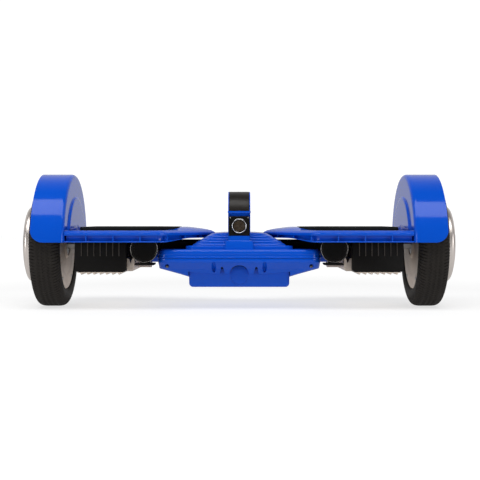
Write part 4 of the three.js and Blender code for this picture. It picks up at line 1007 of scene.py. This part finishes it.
def make_hood(finish):
    base = divisions(eased(oblong(BODY_HALF_LENGTH, BODY_HALF_DEPTH, BODY_CORNER), 0, 8), 4.0)
    rings = []
    for inset, z in FLANK_SECTION:
        rings.append(oblong_ring(BODY_HALF_LENGTH - inset, BODY_HALF_DEPTH - inset,
                                 max(BODY_CORNER - inset, 1), z, base))
    flank = sewn("hood_shell", rings)
    dome = sewn("dome", hood_rings())
    carve(dome, tongue_room(1), tongue_room(-1))
    spines = []
    for front in (-1, 1):
        rings = []
        for z, half, y in SPINE:
            ring = [(-half, 40.0), (-half, y - 2.2), (-half + 0.5, y - 0.9), (-half + 1.6, y),
                    (0, y + 0.25),
                    (half - 1.6, y), (half - 0.5, y - 0.9), (half, y - 2.2), (half, 40.0)]
            rings.append([(x, front * d, z) for x, d in ring])
        spines.append(sewn("spine", rings))
    joined(flank, dome, *spines)
    beam_room = plain_box("beam_room", 0, 0, 77.4, 200.8, 2 * (BEAM_HALF_DEPTH + 0.4), 24.0)
    legs = [plain_box("leg_room", 0, front * 54.0, 90.0, 29.2, 16.6, 40.0) for front in (-1, 1)]
    tubes = rod_along_x("tube_room", TUBE_ROOM, -115, 115, 0, PIVOT_HEIGHT)
    carve(flank, beam_room, tubes, *legs)
    return dressed(flank, "centre", "blue_gloss", finish, "centre_hood", sharp=30)


def make_beam_end(side, sign, finish):
    """Black end plate that closes the beam above the shoulder of the body."""
    block = plain_box("beam_end_" + side, sign * 102.2, 0, 81.2, 4.4, 2 * BEAM_HALF_DEPTH, 15.4)
    eased_edges(block, 0.8, 3)
    return dressed(block, "centre", "black_paint", finish)


def facet_depth(z):
    """Half depth of the lower shell at a height, along its front and back faces."""
    for (z0, y0), (z1, y1) in zip(FACET, FACET[1:]):
        if z <= z1:
            return y0 + (y1 - y0) * (z - z0) / (z1 - z0)
    return FACET[-1][1]


def make_lower_shell(finish, screw_finish):
    base = divisions(eased(oblong(BODY_HALF_LENGTH, BODY_HALF_DEPTH, BODY_CORNER), 0, 8), 4.0)
    outer = [oblong_ring(a, b, c, z, base) for z, a, b, c in LOWER_SHELL]
    inner = [oblong_ring(a - WALL, b - WALL, c - WALL, min(z + WALL, 65.9), base)
             for z, a, b, c in LOWER_SHELL if z < 61]
    lid = oblong_ring(101.0, 66.6, 10.0, 66.1, base)
    shell = sewn("lower_shell", [*reversed(inner), lid, *outer])
    mouth_half = CASE_HALF_LENGTH + 0.5
    smile = [(-mouth_half, 30.0), (mouth_half, 30.0)]
    for k in range(25):
        share = 1 - k / 12
        smile.append((mouth_half * share, 45.4 + 3.2 * abs(share) ** 3))
    mouth = sewn("mouth", [[(x, y, z) for x, z in smile] for y in (-THROUGH, THROUGH)])
    arch = rod_along_y("arch", ARCH_RADIUS, -THROUGH, THROUGH, 0, ARCH_HEIGHT, 64)
    keys = []
    for x in (-KEY_X, KEY_X):
        half = [(3.6, 43.0), (2.9, 47.0), (2.1, 51.0), (1.6, 53.4), (0.9, 54.8)]
        outline = [(-a, z) for a, z in half] + [(a, z) for a, z in reversed(half)]
        keys.append(sewn("key", [[(x + a, y, z) for a, z in outline] for y in (-THROUGH, THROUGH)]))
    wells = []
    for x in (-WELL_X, WELL_X):
        for front in (-1, 1):
            rings = []
            for k in range(17):
                u = -1 + k / 8
                size = max(math.sqrt(1 - u * u), 0.05)
                depth = WELL_DEPTH * size
                z = WELL_HEIGHT + WELL_REACH * u
                y = facet_depth(z)
                rings.append([(x + WELL_HALF_WIDTH * size * c, front * (y + depth * s), z)
                              for c, s in circle(32)])
            wells.append(sewn("well", rings))
    screws = []
    for x in (-SHELL_SCREW_X, SHELL_SCREW_X):
        for front in (-1, 1):
            z = SHELL_SCREW_HEIGHT
            screws.append(rod_along_y("screw_room", 2.9, front * 61.6, front * 78.0, x, z))
            add_screw("shell_screw", (x, front * 61.7, z), (0, front, 0), 2.3, "centre",
                      screw_finish, "steel")
    turrets = [rod_along_y("turret", 9.5, 50.0, 70.0, x, FITTING_HEIGHT, 56)
               for x in (-FITTING_X, FITTING_X)]
    sockets = [rod_along_y("socket_room", 7.3, 46.0, 75.0, -FITTING_X, FITTING_HEIGHT, 56),
               rod_along_y("button_room", 6.4, 46.0, 75.0, FITTING_X, FITTING_HEIGHT, 56)]
    tube = rod_along_x("tube_room", TUBE_ROOM, -115, 115, 0, PIVOT_HEIGHT)
    case = plain_box("case_room", 0, 0, 47.2, 131.0, 105.0, 12.0)
    joined(shell, *turrets)
    carve(shell, mouth, arch, *keys, *wells, *screws, *sockets, tube, case)
    eased_edges(shell, 0.5, 3, 40)
    return dressed(shell, "centre", "blue_gloss", finish, "centre_lower_shell", sharp=30)


# ------------------------------------------------------------------ battery case
def make_case(finish):
    edge = CASE_HALF_LENGTH
    half = [(edge, 52.0), (edge, 45.0), (edge, 38.6), (edge, 38.0), (edge, 37.4), (edge, 36.8)]
    for k in range(9):
        a = math.pi / 2 * k / 8
        half.append((edge - CASE_CORNER * (1 - math.cos(a)), CASE_BOTTOM + CASE_CORNER * (1 - math.sin(a))))
    outline = half + [(-x, z) for x, z in reversed(half)]
    rings = []
    ends = [(CASE_HALF_DEPTH, 1.0), (CASE_HALF_DEPTH - 0.3, 0.4), (CASE_HALF_DEPTH - 1.0, 0.0)]
    for y, soft in [(-y, soft) for y, soft in ends] + ends[::-1]:
        front = -1 if y < 0 else 1
        ring = []
        for x, z in outline:
            tuck = 0.6 * smooth((38.6 - z) / 0.6) + 0.42 * max(38.0 - z, 0.0)
            lift = 0.6 * soft * smooth((33 - z) / 4)
            ring.append((x - math.copysign(0.8 * soft, x), y - front * tuck, z + lift))
        rings.append(ring)
    body = sewn("battery_tray", rings)
    hollow = plain_box("pack_room", 0, 0, 42.7, 125.0, 94.0, 24.0)
    near, far = CASE_HALF_DEPTH - 2.6, CASE_HALF_DEPTH + 0.25
    tabs = [rod_along_y("tab", TAB_RADIUS, front * near, front * far, 0, ARCH_HEIGHT, 64)
            for front in (-1, 1)]
    joined(body, *tabs)
    carve(body, hollow)
    eased_edges(body, 0.35, 2, 40)
    return dressed(body, "centre", "blue_gloss", finish, "battery_case", sharp=30)


# ------------------------------------------------------------------ handle and lamp
HANDLE_HALF_WIDTH = 14.3
LAMP_HEIGHT = 107.65


def arch_line(inset, bottom, steps=20):
    """Half of the handle line seen from the side, as (y, z) from one foot over the top to the other."""
    half, top, radius = 62.0 - inset, 152.5 - inset, 30.0 - inset
    start = 0.0
    points = [(half, bottom), (half, (bottom + top - radius) / 2)]
    if bottom > top - radius:
        start = math.asin((bottom - top + radius) / radius)
        points = []
    for k in range(steps + 1):
        a = start + (math.pi / 2 - start) * k / steps
        points.append((half - radius + radius * math.cos(a), top - radius + radius * math.sin(a)))
    return points + [(-y, z) for y, z in reversed(points)]


def mouth_line(bottom, steps=14):
    points = [(46.0, bottom)]
    for k in range(steps + 1):
        a = math.pi / 2 * k / steps
        points.append((32.0 + 14.0 * math.cos(a), 123.5 + 14.0 * math.sin(a)))
    return points + [(-y, z) for y, z in reversed(points)]


def across(name, outline, half_width):
    """A (y, z) outline carried across the handle."""
    return sewn(name, [[(x, y, z) for y, z in outline] for x in (-half_width, half_width)])


def strap(name, half_width, outer, inner, low):
    """A band that follows the arch between two insets and ends at a height."""
    inside = arch_line(inner, low)
    rings = []
    for x, drop in ((-half_width, 0.5), (-half_width + 0.15, 0.2), (-half_width + 0.55, 0.0),
                    (half_width - 0.55, 0.0), (half_width - 0.15, 0.2), (half_width, 0.5)):
        moved = arch_line(outer + drop, low)
        rings.append([(x, y, z) for y, z in moved + list(reversed(inside))])
    return sewn(name, rings)


def make_handle(finish, grip_finish):
    outline = arch_line(0, 80.0) + list(reversed(mouth_line(80.0)))
    arch = across("handle_body", outline, HANDLE_HALF_WIDTH)
    room = strap("grip_room", HANDLE_HALF_WIDTH - 1.15, -1.0, 2.5, 126.7)
    recess = plain_box("lamp_recess", 0, -62.0, 109.6, 27.6, 6.0, 29.6)
    bore = rod_along_y("lamp_bore", 8.8, -66.0, -49.0, 0, LAMP_HEIGHT)
    carve(arch, room, recess, bore)
    eased_edges(arch, 0.7, 3, 40)
    dressed(arch, "centre", "blue_gloss", finish, "handle_arch", sharp=30)
    grip = strap("grip_strap", HANDLE_HALF_WIDTH - 1.4, 0.0, 2.2, 127.0)
    dressed(grip, "centre", "grip_black", grip_finish, "handle_grip", sharp=40)
    visor = sewn("lamp_visor", [[(x * w, y, z) for x, y in (
        (-1, -58.0), (-1, -61.6), (-0.97, -62.5), (-0.9, -62.9), (0.9, -62.9), (0.97, -62.5), (1, -61.6),
        (1, -58.0),
    )] for w, z in ((14.2, 124.3), (14.8, 124.7), (14.9, 125.6), (14.8, 126.4), (14.3, 126.8))])
    carve(visor, plain_box("inside", 0, -57.0, 125.0, 28.4, 9.0, 6.0))
    dressed(visor, "centre", "blue_gloss", finish)


def turned_on_y(name, profile, x, z, steps=72):
    """A closed (radius, y) profile turned about a line along Y."""
    return sewn(name, [[(x + r * c, y, z + r * s) for r, y in profile] for c, s in circle(steps)],
                turned=True)


def make_lamp(plate_finish, ring_finish, lens_finish, screw_finish):
    z = LAMP_HEIGHT
    corners = [(13.3, 95.15, 2.0), (13.3, 120.2, 2.0), (-13.3, 120.2, 2.0), (-13.3, 95.15, 2.0)]
    rings = []
    for inset, y in ((0.3, -59.3), (0.0, -59.6), (0.0, -61.2), (0.15, -61.6), (0.6, -61.85), (1.0, -61.85),
                     (1.3, -61.6), (1.6, -61.6)):
        outline = filled_in(eased(corners, inset, 6), divisions(eased(corners, 0, 6), 2.0))
        rings.append([(x, y, h) for x, h in outline])
    plate = sewn("lamp_panel", rings)
    carve(plate, rod_along_y("hole", 7.7, -70, -50, 0, z))
    dressed(plate, "centre", "black_plastic", plate_finish, "lamp_plate")
    ring = turned_on_y("lamp_bezel", bead(8.8, -63.0, 0.7, 1.0, 20), 0, z, 96)
    dressed(ring, "centre", "chrome", ring_finish, "lamp_ring", sharp=180)
    lens = []
    for k in range(33):
        r = 7.4 * k / 32 + 0.01
        ripple = 0.16 * math.cos(2 * math.pi * k / 6.4)
        lens.append((r, -63.25 + 0.9 * (r / 7.4) ** 2 + ripple))
    lens += [(7.45, -60.4), (7.0, -59.6), (0.01, -59.6)]
    glass = turned_on_y("ribbed_lens", lens, 0, z, 96)
    dressed(glass, "centre", "lamp_lens", lens_finish, "lamp_lens", sharp=60)
    for x in (-11.4, 11.4):
        add_screw("panel_screw", (x, -61.9, 118.2), (0, -1, 0), 0.85, "centre", screw_finish, "steel")


# ------------------------------------------------------------------ screws
def add_screw(name, place, direction, radius, body, finish, slot):
    """A domed head with a cross recess, its face at the place, in millimetres."""
    steps = 24
    profile = [(1.0, -0.5), (1.0, -0.05), (0.93, 0.12), (0.78, 0.26), (0.5, 0.36), (0.2, 0.4)]
    verts, faces = [], []
    for r, h in profile:
        for k in range(steps):
            a = 2 * math.pi * k / steps
            slit = min(abs(math.sin(2 * a)), 1)
            sink = 0.3 * (1 - smooth(slit / 0.55)) if r < 0.6 else 0.0
            verts.append((r * math.cos(a), r * math.sin(a), h - sink))
    for i in range(len(profile) - 1):
        for k in range(steps):
            n = (k + 1) % steps
            faces.append((i * steps + k, i * steps + n, (i + 1) * steps + n, (i + 1) * steps + k))
    faces.append(tuple(reversed(range(steps))))
    faces.append(tuple(range((len(profile) - 1) * steps, len(profile) * steps)))
    mesh = bpy.data.meshes.new(name)
    mesh.from_pydata(verts, [], faces)
    piece = added(name, mesh)
    turn = Vector(direction).to_track_quat("Z", "Y").to_matrix().to_4x4()
    scale = radius * MM
    for v in mesh.vertices:
        v.co = turn @ (v.co * scale) + Vector(place) * MM
    return dressed(piece, body, slot, finish, sharp=50)


# ------------------------------------------------------------------ motor box, cover and loudspeaker
BOX_IN, BOX_OUT = 144.5, 210.0
FINS = 7
FIN_X = (BOX_IN + BOX_OUT) / 2
FIN_PITCH = 8.0
SPEAKER_X = 121.0
SPEAKER_HEIGHT = 78.5
SPEAKER_FACE = -77.5
HOLE_PITCH = 1.9
HOLE_RADIUS = 0.62


def make_fin_box(side, sign, finish, sink_finish, fin_highlight_finish):
    """A closed black box with a row of upright fins above its foot, and a finned plate under it."""
    def box_ring(y, inset):
        corners = [(BOX_OUT, 49.0, 4.0), (BOX_OUT, 96.0, 0.6), (BOX_IN, 96.0, 0.6), (BOX_IN, 49.0, 4.0)]
        outline = eased(corners, inset, 6)
        return [(sign * x, y, z) for x, z in outline]

    fin_places = [FIN_X + (k - FINS // 2) * FIN_PITCH for k in range(FINS)]
    rings = [box_ring(y, inset) for y, inset in (
        (-71.0, 0.9), (-70.7, 0.35), (-70.1, 0.0), (70.1, 0.0), (70.7, 0.35), (71.0, 0.9))]
    box = sewn("motor_box_" + side, rings)
    hollow = plain_box("hollow", sign * FIN_X, 0, 76.0, 60.5, 127.0, 49.0)
    slot_room = plain_box("slot_room", sign * FIN_X, 0, 76.0, 90.0, 36.2, 49.0)
    carve(box, hollow, slot_room)
    eased_edges(box, 0.3, 2, 40)
    dressed(box, "platform_" + side, "black_plastic", finish, "fin_box_" + side, sharp=30)
    for front in (-1, 1):
        fins = []
        for x in fin_places:
            outline = [(front * y, z) for y, z in (
                (70.6, 69.5), (71.2, 69.2), (71.9, 70.4), (72.0, 95.9), (70.6, 95.9))]
            fins.append(sewn("fin", [[(sign * (x + d), y, z) for y, z in outline] for d in (-0.55, 0.55)]))
        comb = fins[0]
        comb.name = "cooling_fins_" + side + ("_front" if front < 0 else "_back")
        joined(comb, *fins[1:])
        # the fins take a lighter black, a painted highlight for their lit front edges
        dressed(comb, "platform_" + side, "black_plastic", fin_highlight_finish, sharp=30)
    edge = []
    for x0 in fin_places:
        edge += [(x0 - 2.6, 47.9), (x0 - 1.0, 46.9), (x0 - 0.45, 45.5), (x0 + 0.45, 45.5), (x0 + 1.0, 46.9),
                 (x0 + 2.6, 47.9)]
    outline = [(148.0, 48.7), (148.0, 47.9), *edge, (206.5, 47.9), (206.5, 48.7)]
    rings = [[(sign * x, y, z) for x, z in outline] for y in (-70.5, 70.5)]
    sink = sewn("cooling_plate_" + side, rings)
    eased_edges(sink, 0.2, 2, 35)
    dressed(sink, "platform_" + side, "cast_aluminium", sink_finish, sharp=30)


def make_speaker(side, sign, grille_finish, ring_finish):
    x, z, face = sign * SPEAKER_X, SPEAKER_HEIGHT, SPEAKER_FACE
    ring = turned_on_y("speaker_bezel_" + side, bead(17.0, -75.6, 0.75, 1.1, 16), x, z, 96)
    dressed(ring, "platform_" + side, "chrome", ring_finish, "speaker_ring_" + side, sharp=180)
    profile = [(16.0, face + 3.0), (16.0, face + 0.7), (15.7, face + 0.35), (15.2, face + 0.15)]
    disc = turned_on_y("grille_rim", [*profile, (14.6, face + 0.15), (14.6, face + 3.0)], x, z, 72)
    cutters = bmesh.new()
    for i in range(-9, 10):
        for j in range(-9, 10):
            px = HOLE_PITCH * (i + 0.5 * (j % 2))
            pz = HOLE_PITCH * 0.866 * j
            if math.hypot(px, pz) > 14.0:
                continue
            made = bmesh.ops.create_cone(cutters, cap_ends=True, segments=8,
                                         radius1=HOLE_RADIUS, radius2=HOLE_RADIUS, depth=4.0)
            for v in made["verts"]:
                v.co = ((x + px + v.co.x) * MM, (face + v.co.z) * MM, (z + pz + v.co.y) * MM)
    holes = solid("holes", bpy.data.meshes.new("holes"), cutters)
    plate = rod_along_y("speaker_mesh_" + side, 14.8, face + 0.1, face + 0.9, x, z, 72)
    carve(plate, holes)
    joined(plate, disc)
    dressed(plate, "platform_" + side, "speaker_black", grille_finish, "speaker_grille_" + side, sharp=40)


# ------------------------------------------------------------------ the whole model
def build():
    finishes = {
        "blue_gloss": blue_shell(),
        "black_plastic": black_moulding(),
        "speaker_black": black_moulding("speaker_cloth", (0.006, 0.0055, 0.005), 0.6, 0.8),
        "grip_black": grip_rubber(),
        "mat_rubber": mat_rubber(),
        "seal_rubber": black_moulding("seal_rubber", (0.012, 0.012, 0.012), 0.6, 0.85),
        "tyre": tyre_rubber(),
        "black_paint": black_moulding("black_paint", (0.0045, 0.004, 0.0035), 0.35, 0.55),
        "cast_aluminium": cast_metal(),
        "turned_aluminium": turned_metal(),
        "steel": bright_metal("plain_steel", (0.5, 0.5, 0.51), 0.28, 0.45),
        "chrome": bright_metal("chrome_ring", (0.78, 0.79, 0.8), 0.05, 0.12),
        "dark_chrome": bright_metal("dark_chrome_ring", (0.2, 0.19, 0.18), 0.12, 0.25),
        # lighter black for the fins: a painted highlight standing in for their lit front edges
        "fin_highlight": black_moulding("fin_painted_highlight", (0.06, 0.052, 0.046), 0.4, 0.55),
        "bronze": bright_metal("sintered_bronze", (0.5, 0.32, 0.14), 0.35, 0.5),
        "winding": wire_copper(),
        "circuit_board": circuit_green(),
        "battery_wrap": pack_wrap(),
        "lamp_lens": lens_glass(),
    }
    for row in frame["record"]["subparts"]:
        kept(row["node"], finishes[row["material_slot"]])
    for side, sign in (("right", 1), ("left", -1)):
        make_tyre(side, sign, finishes["tyre"])
        make_fender(side, sign, finishes["blue_gloss"])
        make_deck(side, sign, finishes["blue_gloss"])
        make_ribs(side, sign, finishes["blue_gloss"])
        make_mat(side, sign, finishes["mat_rubber"])
        make_fin_box(side, sign, finishes["black_plastic"], finishes["cast_aluminium"],
                     finishes["fin_highlight"])
        make_speaker(side, sign, finishes["speaker_black"], finishes["dark_chrome"])
        make_beam_end(side, sign, finishes["black_paint"])
        make_bulkhead(side, sign, finishes["black_plastic"])
        make_rotor(side, sign, finishes["turned_aluminium"])
        make_inner_cover(side, sign, finishes["cast_aluminium"], finishes["steel"])
    make_hood(finishes["blue_gloss"])
    make_lower_shell(finishes["blue_gloss"], finishes["dark_chrome"])
    make_case(finishes["blue_gloss"])
    make_handle(finishes["blue_gloss"], finishes["grip_black"])
    make_lamp(finishes["black_paint"], finishes["chrome"], finishes["lamp_lens"], finishes["steel"])


make_camera()
make_studio()
build()
make_floor()
